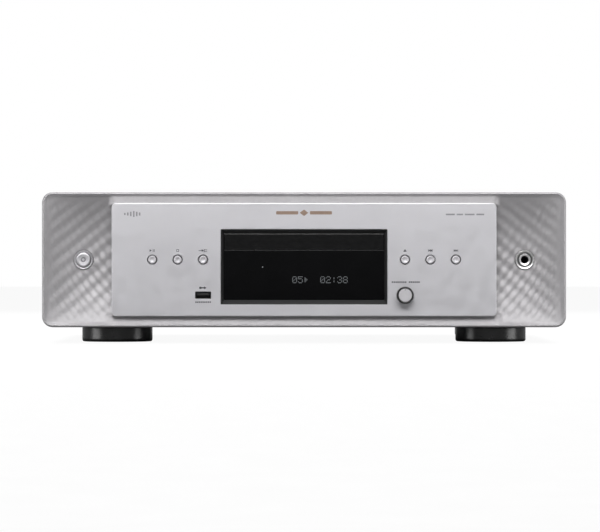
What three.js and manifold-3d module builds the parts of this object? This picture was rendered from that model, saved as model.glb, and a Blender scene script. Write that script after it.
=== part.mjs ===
// A full-width hi-fi CD player with a front-loading disc drawer, in millimetres.
// +X is the right-hand side seen from the front, -Y is the front, +Z is up.
// The origin lies on the surface that the feet stand on, at the middle of the overall width and depth.
import * as THREE from "three";
import { mergeVertices } from "three/addons/utils/BufferGeometryUtils.js";
import Module from "manifold-3d";

const wasm = await Module();
wasm.setup();

// ---------------------------------------------------------------------------------------------
// Driving dimensions
// ---------------------------------------------------------------------------------------------

// Case
const OVERALL_WIDTH = 442;
const OVERALL_DEPTH = 424; // from the level knob's face to the ends of the rear jacks
const CASE_HEIGHT = 114; // front surround, bottom edge to top edge
const FOOT_HEIGHT = 13; // from the table to the surround's bottom edge
const FOOT_DIAMETER = 60.4;
const FOOT_SETBACK = 62; // foot centre, from the case's front or rear
const FOOT_INSET = 56.5; // front foot centre, from the case's side
const REAR_FOOT_INSET = 45; // rear feet stand wider, so the front ones hide them
const SHEET = 1.2; // steel of the cover, base and rear panel
const GAP = 0.3; // between pieces that touch
const COVER_STEP = 4; // the cover is this much narrower than the surround, each side
const COVER_DROP = 1.2; // the cover's top lies this far below the surround's
const COVER_BEND = 3; // outer radius of the cover's folded edges
const BASE_LIFT = 1.5; // base pan's underside above the surround's bottom edge
const BASE_FLANGE = 12;

// Front
const SURROUND_DEPTH = 26;
const SURROUND_WALL = 3;
const SURROUND_CORNER = 9;
const SURROUND_EDGE = 1.8; // rounding between its sides and its front
const DISH_DEPTH = 10; // how far the surround's face sinks behind its rim
const PANEL_WIDTH = 324;
const PANEL_THICKNESS = 5;
const PANEL_CORNER = 3.4;
const PANEL_EDGE = 0.8;
const PANEL_PROUD = 4; // panel face in front of the surround's rim
const PANEL_OVERLAP = 8; // panel over the surround's opening, all round
const BAND_HEIGHT = 9.3; // surround seen above and below the panel
const CARRIER_WALL = 2.6;

// Window with the disc drawer above the display
const WINDOW_WIDTH = 140.2;
const WINDOW_SILL = 10.1; // panel's bottom edge to the window's
const WINDOW_RECESS = 4;
const BEVEL_SIDE = 2.3;
const BEVEL_BOTTOM = 3.6;
const BEVEL_TOP = 3.1;
const FRAME_LIP = 0.5; // flat rim of the window frame around its bevels
const GLASS_HEIGHT = 41.9;
const GLASS_THICKNESS = 2.6;
const DOOR_HEIGHT = 13.8;
const DOOR_THICKNESS = 5;
const DOOR_GAP = 0.4;

// Controls and front sockets
const BUTTON_DIAMETER = 7.6;
const BUTTON_CLEARANCE = 0.35;
const BUTTON_PROUD = 0.9;
const BUTTON_TRAVEL = 0.7;
const BUTTON_MARGIN = 14.9; // window's edge to the nearest button centre
const BUTTON_PITCH = 21.4;
const LOWER_ROW = 17.8; // panel's bottom edge to the knob's and the USB socket's centre
const KNOB_DIAMETER = 14.4;
const KNOB_REACH = 10; // knob face in front of the panel
const SHAFT_DIAMETER = 6;
const USB_WIDTH = 13.1;
const USB_HEIGHT = 5.7;
const USB_WALL = 0.35;
const WING_CONTROL_SHIFT = 5; // power button and headphone socket, inwards from the middle of the wings
const COLLAR_DIAMETER = 15.6;
const COLLAR_WALL = 1.5;
const COLLAR_PROUD = 1.5;
const POWER_PROUD = 2; // power button in front of its collar
const POWER_TRAVEL = 1.8;
const JACK_NOSE_DIAMETER = 10;
const JACK_BORE = 6.5;
const JACK_LENGTH = 30;

// Disc drive
const DISC_DIAMETER = 120;
const DISC_PLAY = 1.5; // well radius over disc radius
const DISC_SETBACK = 68; // drawer's front edge to the disc's centre
const TRAY_WIDTH = 128;
const TRAY_LENGTH = 185;
const TRAY_SLIDE = 0.4; // play between the drawer and its guides
const FRAME_WALL = 4.5;
const SLOT_WIDTH = 40; // slot in the drawer for the turntable and the lens
const RACK_MODULE = 1.5;
const PINION_TEETH = 14;
const SLED_MODULE = 1;
const SLED_TEETH = 12;
const BACKLASH = 0.3;
const SLED_TRAVEL = 34;
const SLED_START = 24; // lens to the disc's centre at rest
const PULLEY_DIAMETER = 21.6;
const MOTOR_PULLEY_DIAMETER = 7;
const PULLEY_SPACING = 30;
const TURNTABLE_DIAMETER = 30;
const LIFT_LEVER = 95; // disc's centre to the lift frame's pivot

// Rear and inside
const JACK_REACH = 9.5; // rear jacks behind the rear panel
const RCA_DIAMETER = 8.3;
const BOARD = 1.6;
const BOARD_LIFT = 6.5; // circuit boards above the base
const TRANSFORMER_DIAMETER = 84;
const TRANSFORMER_HEIGHT = 38;

// ---------------------------------------------------------------------------------------------
// Derived places
// ---------------------------------------------------------------------------------------------

const halfWidth = OVERALL_WIDTH / 2;
const caseBottom = FOOT_HEIGHT;
const caseTop = FOOT_HEIGHT + CASE_HEIGHT;
const midZ = (caseBottom + caseTop) / 2;
const rimY = -OVERALL_DEPTH / 2 + KNOB_REACH + PANEL_PROUD;
const rearY = OVERALL_DEPTH / 2 - JACK_REACH;
const bodyFront = rimY + SURROUND_DEPTH + GAP;

const coverHalf = halfWidth - COVER_STEP;
const coverTop = caseTop - COVER_DROP;
const innerHalf = coverHalf - SHEET - GAP;
const baseBottom = caseBottom + BASE_LIFT;
const baseTop = baseBottom + SHEET;
const boardBottom = baseTop + BOARD_LIFT;
const boardTop = boardBottom + BOARD;

const panelHalf = PANEL_WIDTH / 2;
const panelFront = rimY - PANEL_PROUD;
const panelBack = panelFront + PANEL_THICKNESS;
const panelBottom = caseBottom + BAND_HEIGHT;
const panelTop = caseTop - BAND_HEIGHT;

const windowHalf = WINDOW_WIDTH / 2;
const windowBottom = panelBottom + WINDOW_SILL;
const recessY = panelFront + WINDOW_RECESS;
const glassHalf = windowHalf - BEVEL_SIDE;
const glassBottom = windowBottom + BEVEL_BOTTOM;
const glassTop = glassBottom + GLASS_HEIGHT;
const doorBottom = glassTop + DOOR_GAP;
const doorTop = doorBottom + DOOR_HEIGHT;
const windowTop = doorTop + DOOR_GAP + BEVEL_TOP;

const carrierFront = panelBack + GAP;
const carrierBack = carrierFront + CARRIER_WALL;
const frontBoardY = carrierBack + 6;
const lowerZ = panelBottom + LOWER_ROW;
const knobX = windowHalf + BUTTON_MARGIN;
const wingControlX = (halfWidth + panelHalf) / 2 - WING_CONTROL_SHIFT;

const trayFront = recessY + DOOR_THICKNESS + GAP;
const trayRear = trayFront + TRAY_LENGTH;
const discY = trayFront + DISC_SETBACK;
const trayBottom = doorBottom + 1;
const slabBottom = trayBottom + 4.2;
const wellFloor = slabBottom + 2;
const trayTop = wellFloor + 3;
const trayHalf = TRAY_WIDTH / 2;
const frameHalf = trayHalf + TRAY_SLIDE + FRAME_WALL;
const driveFront = rimY + 22;
const driveRear = trayRear + 10;
const shelfTop = trayBottom - 16.5;
const bridgeBottom = trayTop + 7;
const deckBottom = slabBottom - 9;
const discPlane = wellFloor + 0.8;
const pivotY = discY + LIFT_LEVER;

// ---------------------------------------------------------------------------------------------
// Solids: joining, cutting and simple shapes
// ---------------------------------------------------------------------------------------------

function toSolid(geometry) {
  const bare = geometry.clone();
  bare.deleteAttribute("normal");
  bare.deleteAttribute("uv");
  const merged = mergeVertices(bare, 1e-4);
  const vertProperties = merged.attributes.position.array;
  const triVerts = new Uint32Array(merged.index.array);
  return new wasm.Manifold(new wasm.Mesh({ numProp: 3, vertProperties, triVerts }));
}

function toGeometry(solid) {
  const mesh = solid.getMesh();
  const geometry = new THREE.BufferGeometry();
  geometry.setAttribute("position", new THREE.BufferAttribute(new Float32Array(mesh.vertProperties), 3));
  geometry.setIndex(new THREE.BufferAttribute(new Uint32Array(mesh.triVerts), 1));
  return geometry;
}

const join = (...shapes) => toGeometry(shapes.map(toSolid).reduce((a, b) => a.add(b)));
const cut = (base, ...tools) => toGeometry(tools.map(toSolid).reduce((a, b) => a.subtract(b), toSolid(base)));

// The two ends of a length centred on a point.
const span = (centre, length) => [centre - length / 2, centre + length / 2];

// A box between two limits on each axis.
function block(x, y, z) {
  const box = new THREE.BoxGeometry(x[1] - x[0], y[1] - y[0], z[1] - z[0]);
  return box.translate((x[0] + x[1]) / 2, (y[0] + y[1]) / 2, (z[0] + z[1]) / 2);
}

// A cylinder along an axis. centre holds its place on the other two axes, in X, Y, Z order.
function rod(axis, radius, [from, to], centre, sides = 20) {
  const shape = new THREE.CylinderGeometry(radius, radius, to - from, sides);
  const middle = (from + to) / 2;
  if (axis === "x") return shape.rotateZ(Math.PI / 2).translate(middle, centre[0], centre[1]);
  if (axis === "y") return shape.translate(centre[0], middle, centre[1]);
  return shape.rotateX(Math.PI / 2).translate(centre[0], centre[1], middle);
}

// A turned piece from [radius, place along the axis] points that run round it with its material on the left.
function turned(axis, profile, centre, sides = 28) {
  const shape = new THREE.LatheGeometry(profile.map(([r, h]) => new THREE.Vector2(r, h)), sides);
  if (axis === "y") return shape.translate(centre[0], 0, centre[1]);
  return shape.rotateX(Math.PI / 2).translate(centre[0], centre[1], 0);
}

// A flat outline drawn in X and Z, extruded along Y.
function extrudeY(shape, [from, to], options = {}) {
  const solid = new THREE.ExtrudeGeometry(shape, { depth: to - from, bevelEnabled: false, ...options });
  return solid.rotateX(Math.PI / 2).translate(0, to, 0);
}

// A flat outline drawn in X and Y, extruded along Z.
function extrudeZ(shape, [from, to]) {
  const solid = new THREE.ExtrudeGeometry(shape, { depth: to - from, bevelEnabled: false });
  return solid.translate(0, 0, from);
}

function roundedRectangle([left, right], [low, high], radius) {
  const quarter = Math.PI / 2;
  const shape = new THREE.Shape();
  shape.absarc(right - radius, low + radius, radius, -quarter, 0);
  shape.absarc(right - radius, high - radius, radius, 0, quarter);
  shape.absarc(left + radius, high - radius, radius, quarter, 2 * quarter);
  shape.absarc(left + radius, low + radius, radius, 2 * quarter, 3 * quarter);
  return shape;
}

// A rounded plate whose front and rear edges are bevelled.
function bevelledPlate(x, [front, back], z, radius, bevel, segments) {
  const inner = roundedRectangle([x[0] + bevel, x[1] - bevel], [z[0] + bevel, z[1] - bevel], radius - bevel);
  return extrudeY(inner, [front + bevel, back - bevel], {
    curveSegments: segments,
    bevelEnabled: true,
    bevelSize: bevel,
    bevelThickness: bevel,
    bevelSegments: segments > 4 ? 2 : 1, // a plate with finely rounded corners gets a rounder edge too
  });
}

// A box whose front opening and rear opening differ in size.
function taperedBlock([front, back], frontX, frontZ, backX, backZ) {
  const box = new THREE.BoxGeometry(1, 1, 1);
  const place = box.attributes.position;
  for (let i = 0; i < place.count; i++) {
    const atFront = place.getY(i) < 0;
    const x = (atFront ? frontX : backX)[place.getX(i) < 0 ? 0 : 1];
    const z = (atFront ? frontZ : backZ)[place.getZ(i) < 0 ? 0 : 1];
    place.setXYZ(i, x, atFront ? front : back, z);
  }
  return box;
}

// ---------------------------------------------------------------------------------------------
// Gears and racks with 20 degree involute teeth, shortened so that a small pinion clears its rack
// ---------------------------------------------------------------------------------------------

const PRESSURE_ANGLE = (20 * Math.PI) / 180;
const ADDENDUM = 0.8; // in modules
const DEDENDUM = 1.1;

// Outline of a gear centred on the origin, one tooth pointing along angle phase.
function gearShape(module, teeth, phase) {
  const pitch = (module * teeth) / 2;
  const base = pitch * Math.cos(PRESSURE_ANGLE);
  const tip = pitch + ADDENDUM * module;
  const root = pitch - DEDENDUM * module;
  const involute = (angle) => Math.tan(angle) - angle;
  const halfTooth = (radius) => {
    const angle = Math.acos(Math.min(1, base / radius));
    const atPitch = Math.PI / (2 * teeth) - BACKLASH / (4 * pitch);
    return atPitch + involute(PRESSURE_ANGLE) - involute(angle);
  };
  const flank = [root, Math.max(base, root + 0.05), tip];
  const points = [];
  for (let tooth = 0; tooth < teeth; tooth++) {
    const middle = phase + (2 * Math.PI * tooth) / teeth;
    const rising = flank.map((r) => [r, middle - halfTooth(r)]);
    const falling = flank.map((r) => [r, middle + halfTooth(r)]).reverse();
    for (const [r, a] of [...rising, ...falling]) {
      points.push(new THREE.Vector2(r * Math.cos(a), r * Math.sin(a)));
    }
  }
  return new THREE.Shape(points);
}

// Outline of a rack along Y in the X-Y plane: teeth face +X, pitch line at x, a gap centred on gapY.
function rackShape(module, x, backX, [from, to], gapY) {
  const pitch = Math.PI * module;
  const slope = Math.tan(PRESSURE_ANGLE);
  const half = pitch / 4 - BACKLASH / 4;
  const tip = x + ADDENDUM * module;
  const root = x - DEDENDUM * module;
  const halfTip = half - ADDENDUM * module * slope;
  const halfRoot = half + DEDENDUM * module * slope;
  const points = [new THREE.Vector2(backX, from), new THREE.Vector2(root, from)];
  const first = Math.ceil((from + halfRoot - gapY) / pitch - 0.5);
  for (let n = first; gapY + (n + 0.5) * pitch + halfRoot < to; n++) {
    const middle = gapY + (n + 0.5) * pitch;
    points.push(new THREE.Vector2(root, middle - halfRoot));
    points.push(new THREE.Vector2(tip, middle - halfTip));
    points.push(new THREE.Vector2(tip, middle + halfTip));
    points.push(new THREE.Vector2(root, middle + halfRoot));
  }
  points.push(new THREE.Vector2(root, to), new THREE.Vector2(backX, to));
  return new THREE.Shape(points);
}

// ---------------------------------------------------------------------------------------------
// The surround's dished face
// ---------------------------------------------------------------------------------------------

// How far the face lies behind the rim: it sinks in from the two ends and from the top and bottom edges.
function dishDepth(x, z) {
  const inward = Math.min(1, Math.max(0, (halfWidth - Math.abs(x)) / (halfWidth - panelHalf)));
  const upward = Math.min(1, Math.abs(z - midZ) / (CASE_HEIGHT / 2));
  return DISH_DEPTH * (1 - (1 - inward) ** 3) * (1 - upward ** 2);
}

// Everything in front of (or, with a far limit, behind) the dished face moved back by offset.
function dishBlock(x, z, farY, offset, columns, rows) {
  const box = new THREE.BoxGeometry(x[1] - x[0], 1, z[1] - z[0], columns, 1, rows);
  box.translate((x[0] + x[1]) / 2, 0, (z[0] + z[1]) / 2);
  const place = box.attributes.position;
  const faceSide = farY < rimY ? 1 : -1;
  for (let i = 0; i < place.count; i++) {
    const onFace = place.getY(i) * faceSide > 0;
    const faceY = rimY + offset + dishDepth(place.getX(i), place.getZ(i));
    place.setY(i, onFace ? faceY : farY);
  }
  return box;
}

// ---------------------------------------------------------------------------------------------
// Materials
// ---------------------------------------------------------------------------------------------

const finish = (color, roughness, metalness) =>
  new THREE.MeshStandardMaterial({ color, roughness, metalness });
const silverPaint = finish(0xb4b4b6, 0.42, 0.7);
const brushedSilver = finish(0xc6c6ca, 0.34, 0.9);
const blackPlastic = finish(0x1d1d1e, 0.5, 0);
const glossBlack = finish(0x0d0d0e, 0.15, 0);
const smokedAcrylic = finish(0x08080a, 0.06, 0);
const zincSteel = finish(0xa9acad, 0.4, 0.9);
const blackSteel = finish(0x232426, 0.5, 0.5);
const greyPlastic = finish(0x55575a, 0.55, 0);
const chrome = finish(0xd8d8da, 0.1, 1);
const gold = finish(0xc9a24a, 0.22, 1);
const circuitGreen = finish(0x1d5a35, 0.5, 0);
const copperWinding = finish(0x9b5a2c, 0.45, 0.4);
const rubber = finish(0x1a1a1a, 0.8, 0);
const lensGlass = finish(0x6d7f9a, 0.08, 0.2);
const whiteNylon = finish(0xd9d7ce, 0.5, 0);

const player = new THREE.Group();
player.name = "cd_player";

function part(name, geometry, material) {
  const mesh = new THREE.Mesh(geometry, material);
  mesh.name = name;
  player.add(mesh);
}

// ---------------------------------------------------------------------------------------------
// Case
// ---------------------------------------------------------------------------------------------

// Folded U of sheet: outer outline out, inner outline back. Slots let warm air out over both sides.
function topCover() {
  const outer = [coverHalf, coverTop, COVER_BEND];
  const inner = [coverHalf - SHEET, coverTop - SHEET, COVER_BEND - SHEET];
  const [outerArc, innerArc] = [outer, inner].map(([half, top, radius]) => {
    const arc = new THREE.Path();
    arc.moveTo(-half, baseBottom);
    arc.lineTo(-half, top - radius);
    arc.absarc(-half + radius, top - radius, radius, Math.PI, Math.PI / 2, true);
    arc.absarc(half - radius, top - radius, radius, Math.PI / 2, 0, true);
    arc.lineTo(half, baseBottom);
    return arc.getPoints(3);
  });
  const shell = extrudeY(new THREE.Shape([...outerArc, ...innerArc.reverse()]), [bodyFront, rearY]);
  const slots = [];
  const slotX = (frameHalf + innerHalf) / 2;
  for (const side of [-1, 1]) {
    for (let n = -3.5; n <= 3.5; n++) {
      const x = side * slotX + n * 8;
      const middleY = (bodyFront + rearY) / 2;
      slots.push(block(span(x, 3), span(middleY, 60), [coverTop - 2 * SHEET, coverTop + SHEET]));
    }
  }
  return cut(shell, ...slots);
}

function basePan() {
  const y = [bodyFront, rearY - SHEET - GAP];
  const floor = block([-innerHalf, innerHalf], y, [baseBottom, baseTop]);
  const sides = [-1, 1].map((side) => {
    const x = [side * innerHalf, side * (innerHalf - SHEET)].sort((a, b) => a - b);
    return block(x, y, [baseBottom, baseTop + BASE_FLANGE]);
  });
  const flangeZ = [baseBottom, baseTop + BASE_FLANGE];
  const front = block([-innerHalf, innerHalf], [bodyFront, bodyFront + SHEET], flangeZ);
  return join(floor, ...sides, front);
}

// Rear sockets: each has a place on the rear panel and the clearance hole that it needs.
const outputX = innerHalf - 30;
const rcaZ = boardTop + 15;
const rcaPlaces = {
  output_jack_right: outputX,
  output_jack_left: outputX - 26,
  coaxial_jack: outputX - 58,
  remote_jack: outputX - 110,
};
const opticalX = outputX - 82;
const inletX = -(innerHalf - 34);
const inletZ = boardTop + 24;
const OPTICAL_BODY = 10;
const INLET_BODY = [27, 19.6];

function rearPanel() {
  const insideZ = [baseBottom, coverTop - SHEET - GAP];
  const outline = roundedRectangle([-innerHalf, innerHalf], insideZ, COVER_BEND - SHEET);
  const plate = extrudeY(outline, [rearY - SHEET, rearY], { curveSegments: 3 });
  const through = [rearY - 2 * SHEET, rearY + SHEET];
  const holes = Object.values(rcaPlaces).map((x) => rod("y", RCA_DIAMETER / 2 + 0.6, through, [x, rcaZ], 16));
  const optical = block(span(opticalX, OPTICAL_BODY + 2 * GAP), through, span(rcaZ, OPTICAL_BODY + 2 * GAP));
  const inlet = block(span(inletX, INLET_BODY[0] + 2 * GAP), through, span(inletZ, INLET_BODY[1] + 2 * GAP));
  return cut(plate, ...holes, optical, inlet);
}

// Moulded picture frame with a dished face, open behind, with an opening that the panel covers.
function frontSurround() {
  const ring = SURROUND_WALL;
  const x = [-halfWidth, halfWidth];
  const z = [caseBottom, caseTop];
  const backY = rimY + SURROUND_DEPTH;
  const full = bevelledPlate(x, [rimY, backY + SURROUND_EDGE], z, SURROUND_CORNER, SURROUND_EDGE, 6);
  const beyond = block([x[0] - 1, x[1] + 1], [backY, backY + 5], [z[0] - 1, z[1] + 1]);
  const dish = dishBlock([x[0] + 1, x[1] - 1], [z[0] + 1, z[1] - 1], rimY - 5, 0, 36, 10);
  const cavity = dishBlock([x[0] + ring, x[1] - ring], [z[0] + ring, z[1] - ring], backY + 1, ring, 18, 5);
  const openX = [-panelHalf + PANEL_OVERLAP, panelHalf - PANEL_OVERLAP];
  const openZ = [panelBottom + PANEL_OVERLAP, panelTop - PANEL_OVERLAP];
  const opening = block(openX, [rimY - 1, backY + 1], openZ);
  const holeRadius = COLLAR_DIAMETER / 2 + 0.2;
  const holes = [-1, 1].map((s) => rod("y", holeRadius, [rimY, backY], [s * wingControlX, midZ], 24));
  return cut(full, beyond, dish, cavity, opening, ...holes);
}

const buttonNames = [
  "play_button",
  "stop_button",
  "input_button",
  "eject_button",
  "back_button",
  "skip_button",
];
const buttonX = [-2, -1, 0, 0, 1, 2].map((n, i) => (i < 3 ? -1 : 1) * knobX + n * BUTTON_PITCH);
const usbX = -knobX;

// Holes that the panel and its carrier share, widened by extra.
function controlHoles(y, extra) {
  const radius = BUTTON_DIAMETER / 2 + BUTTON_CLEARANCE + extra;
  const buttons = buttonX.map((x) => rod("y", radius, y, [x, midZ], 16));
  const shaft = rod("y", SHAFT_DIAMETER / 2 + 1.6, y, [knobX, lowerZ], 16);
  const usb = block(span(usbX, USB_WIDTH + 0.4 + extra), y, span(lowerZ, USB_HEIGHT + 0.4 + extra));
  return [...buttons, shaft, usb];
}

function windowHole(y) {
  return block([-windowHalf - 0.2, windowHalf + 0.2], y, [windowBottom - 0.2, windowTop + 0.2]);
}

function centrePanel() {
  const x = [-panelHalf, panelHalf];
  const z = [panelBottom, panelTop];
  const plate = bevelledPlate(x, [panelFront, panelBack], z, PANEL_CORNER, PANEL_EDGE, 5);
  const through = [panelFront - 1, panelBack + 1];
  return cut(plate, windowHole(through), ...controlHoles(through, 0));
}

// Black moulding that fills the surround's opening, holds the panel, and has a flange behind the surround.
const carrierHalf = panelHalf - PANEL_OVERLAP - GAP;
const carrierZ = [panelBottom + PANEL_OVERLAP + GAP, panelTop - PANEL_OVERLAP - GAP];
const flangeY = rimY + DISH_DEPTH + SURROUND_WALL + GAP;

function panelCarrier() {
  const flange = 5;
  const box = block([-carrierHalf, carrierHalf], [carrierFront, flangeY + 2], carrierZ);
  const flangeZ = [carrierZ[0] - flange, carrierZ[1] + flange];
  const rim = block([-carrierHalf - flange, carrierHalf + flange], [flangeY, flangeY + 2], flangeZ);
  const wall = CARRIER_WALL;
  const cavityZ = [carrierZ[0] + wall, carrierZ[1] - wall];
  const cavity = block([-carrierHalf + wall, carrierHalf - wall], [carrierBack, flangeY + 4], cavityZ);
  const through = [carrierFront - 1, carrierBack + 2];
  return cut(join(box, rim), cavity, windowHole(through), ...controlHoles(through, 0.4));
}

// ---------------------------------------------------------------------------------------------
// Window, display and circuit boards behind the front
// ---------------------------------------------------------------------------------------------

function windowFrame() {
  const back = carrierBack + 1.5;
  const body = block([-windowHalf, windowHalf], [panelFront, back], [windowBottom, windowTop]);
  const wide = [-windowHalf + FRAME_LIP, windowHalf - FRAME_LIP];
  const tall = [windowBottom + FRAME_LIP, windowTop - FRAME_LIP];
  const narrow = [-glassHalf, glassHalf];
  const short = [glassBottom, doorTop + DOOR_GAP];
  const bevels = taperedBlock([panelFront - 0.01, recessY], wide, tall, narrow, short);
  const tunnel = block(narrow, [recessY - 0.5, back + 1], short);
  return cut(body, bevels, tunnel);
}

function displayModule() {
  const front = carrierBack + 2.6;
  const glass = block(span(8, 96), [recessY + GLASS_THICKNESS + GAP, front], span(glassBottom + 20, 26));
  const board = block(span(0, 128), [front, front + BOARD], [glassBottom + 1, glassTop - 2]);
  return join(glass, board);
}

// Keys, level control and sockets stand on one board, notched for the drawer.
function buttonBoard() {
  const edge = CARRIER_WALL + GAP;
  const boardX = [-carrierHalf + edge, carrierHalf - edge];
  const boardZ = [carrierZ[0] + edge, carrierZ[1] - edge];
  const plate = block(boardX, [frontBoardY, frontBoardY + BOARD], boardZ);
  const notchY = [frontBoardY - 1, frontBoardY + BOARD + 1];
  const notch = block([-windowHalf - 2, windowHalf + 2], notchY, [glassTop - 1, boardZ[1] + 1]);
  const switchY = [frontBoardY - 1.4, frontBoardY + 0.1];
  const switches = buttonX.map((x) => block(span(x, 6), switchY, span(midZ, 6)));
  return join(cut(plate, notch), ...switches);
}

// ---------------------------------------------------------------------------------------------
// Controls and front sockets
// ---------------------------------------------------------------------------------------------

// A cap through the panel, with a flange that the carrier stops and a stem that reaches the switch.
function pushButton(x) {
  const radius = BUTTON_DIAMETER / 2;
  const flange = radius + BUTTON_CLEARANCE + 1.4;
  const front = panelFront - BUTTON_PROUD;
  const flangeFront = carrierBack + GAP;
  const stemEnd = frontBoardY - 1.4 - BUTTON_TRAVEL - 0.2;
  const profile = [
    [0, front],
    [radius - 0.4, front],
    [radius, front + 0.4],
    [radius, flangeFront],
    [flange, flangeFront],
    [flange, flangeFront + 1],
    [1.5, flangeFront + 1],
    [1.5, stemEnd],
    [0, stemEnd],
  ];
  return turned("y", profile, [x, midZ], 16);
}

// The level knob has a blind bore for the control's shaft.
const knobBoreEnd = panelFront - KNOB_REACH + 3;
function levelKnob() {
  const radius = KNOB_DIAMETER / 2;
  const face = panelFront - KNOB_REACH;
  const back = panelFront - 0.5;
  const bore = SHAFT_DIAMETER / 2 + 0.15;
  const profile = [
    [0, face],
    [radius - 0.6, face],
    [radius, face + 0.6],
    [radius, back],
    [bore, back],
    [bore, knobBoreEnd],
    [0, knobBoreEnd],
  ];
  return turned("y", profile, [knobX, lowerZ], 28);
}

const controlFront = carrierBack + GAP;
function levelControl() {
  const bush = SHAFT_DIAMETER / 2 + 1.2;
  const body = block(span(knobX, 12), [controlFront, frontBoardY - GAP], span(lowerZ, 13));
  const nose = rod("y", bush, [panelFront + 1.5, controlFront + 1], [knobX, lowerZ], 20);
  const hole = rod("y", SHAFT_DIAMETER / 2 + 0.2, [panelFront, controlFront + 3.6], [knobX, lowerZ], 20);
  return cut(join(body, nose), hole);
}

function usbSocket() {
  const y = [panelFront + 0.2, frontBoardY - GAP];
  const shell = block(span(usbX, USB_WIDTH), y, span(lowerZ, USB_HEIGHT));
  const inside = [USB_WIDTH - 2 * USB_WALL, USB_HEIGHT - 2 * USB_WALL];
  const hollow = block(span(usbX, inside[0]), [y[0] - 1, y[1] - 2], span(lowerZ, inside[1]));
  const tongue = block(span(usbX, inside[0] - 1.6), [y[0] + 1.5, y[1] - 1], span(lowerZ + 0.9, 1.8));
  return join(cut(shell, hollow), tongue);
}

// Wing controls stand on the dished face at mid height.
const wingFace = rimY + dishDepth(wingControlX, midZ);
const collarFront = wingFace - COLLAR_PROUD;
const collarRadius = COLLAR_DIAMETER / 2;

// A ring through the wing with a flange behind its wall.
function collar(x) {
  const inside = collarRadius - COLLAR_WALL;
  const profile = [
    [inside, collarFront],
    [collarRadius - 0.5, collarFront],
    [collarRadius, collarFront + 0.5],
    [collarRadius, flangeY],
    [collarRadius + 1.8, flangeY],
    [collarRadius + 1.8, flangeY + 1.5],
    [inside, flangeY + 1.5],
    [inside, collarFront],
  ];
  return turned("y", profile, [x, midZ], 24);
}

const powerStop = flangeY + 1.5 + GAP;
function powerButton() {
  const radius = collarRadius - COLLAR_WALL - GAP;
  const face = collarFront - POWER_PROUD;
  const profile = [
    [0, face],
    [radius - 0.5, face],
    [radius, face + 0.5],
    [radius, powerStop],
    [radius + 1.5, powerStop],
    [radius + 1.5, powerStop + 1.5],
    [2, powerStop + 1.5],
    [2, powerStop + 4],
    [0, powerStop + 4],
  ];
  return turned("y", profile, [-wingControlX, midZ], 24);
}

function powerSwitch() {
  const front = powerStop + 4 + POWER_TRAVEL + 0.2;
  const body = block(span(-wingControlX, 13), [front, front + 11], span(midZ, 13));
  const board = block(span(-wingControlX, 20), [front + 10.9, front + 10.9 + BOARD], span(midZ - 4, 36));
  return join(body, board);
}

function headphoneJack() {
  const front = flangeY + 1.5 + GAP;
  const place = [wingControlX, midZ];
  const nose = rod("y", JACK_NOSE_DIAMETER / 2, [collarFront, front + 1], place, 28);
  const body = block(span(place[0], 14), [front, collarFront + JACK_LENGTH + 3], span(midZ, 14));
  const bore = rod("y", JACK_BORE / 2, [collarFront - 1, collarFront + JACK_LENGTH], place, 28);
  return cut(join(nose, body), bore);
}

// ---------------------------------------------------------------------------------------------
// Feet
// ---------------------------------------------------------------------------------------------

const FOOT_SOLE = 8; // width of the ring that touches the table
function foot(x, y) {
  const radius = FOOT_DIAMETER / 2;
  const top = baseBottom - GAP;
  const profile = [
    [0, 1.5],
    [radius - FOOT_SOLE - 1.2, 1.5],
    [radius - FOOT_SOLE - 1.2, 0],
    [radius - 1.2, 0],
    [radius, 1.2],
    [radius, top],
    [0, top],
  ];
  return turned("z", profile, [x, y], 24);
}

// ---------------------------------------------------------------------------------------------
// Disc drive: frame, drawer and its drive
// ---------------------------------------------------------------------------------------------

const pinionRadius = (RACK_MODULE * PINION_TEETH) / 2;
const rackX = -trayHalf + 17;
const pinionX = rackX + pinionRadius;
const pinionY = driveFront + 12;
const pulleyZ = [shelfTop + 0.5, shelfTop + 4.2];
const pinionZ = [trayBottom + 0.5, slabBottom - 0.5];
const motorX = pinionX + PULLEY_SPACING;
const liftFront = pinionY + PULLEY_DIAMETER / 2 + 2.4;
const liftTop = deckBottom - GAP;
const liftBottom = liftTop - 8;
const pivotZ = liftTop - 4;

function driveFrame() {
  const inner = frameHalf - FRAME_WALL;
  const wallZ = [shelfTop - 2.5, bridgeBottom - GAP];
  const long = [driveFront, driveRear];
  const left = block([-frameHalf, -inner], long, wallZ);
  const right = block([inner, frameHalf], long, wallZ);
  const shelf = block([-frameHalf, frameHalf], [driveFront, driveFront + 23], [wallZ[0], shelfTop]);
  const rear = block([-frameHalf, frameHalf], [driveRear - 6, driveRear], wallZ);
  const ledges = [-1, 1].map((side) => {
    const x = [side * (inner - 3), side * (inner + 0.5)].sort((a, b) => a - b);
    return block(x, long, [trayBottom - 3.5, trayBottom - TRAY_SLIDE]);
  });
  const legs = [-1, 1].flatMap((side) =>
    [driveFront + 14, driveRear - 7].map((y) =>
      block(span(side * (frameHalf - 7), 14), span(y, 14), [baseTop + GAP, wallZ[0] + 1]),
    ),
  );
  const axle = rod("z", 2, [shelfTop - 1, pinionZ[1] - 0.3], [pinionX, pinionY], 16);
  const motorHole = rod("z", 2.5, [wallZ[0] - 1, shelfTop + 1], [motorX, pinionY], 16);
  const pivots = rod("x", 2.4, [-frameHalf - 1, frameHalf + 1], [pivotY, pivotZ], 16);
  return cut(join(left, right, shelf, rear, ...ledges, ...legs, axle), motorHole, pivots);
}

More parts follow.
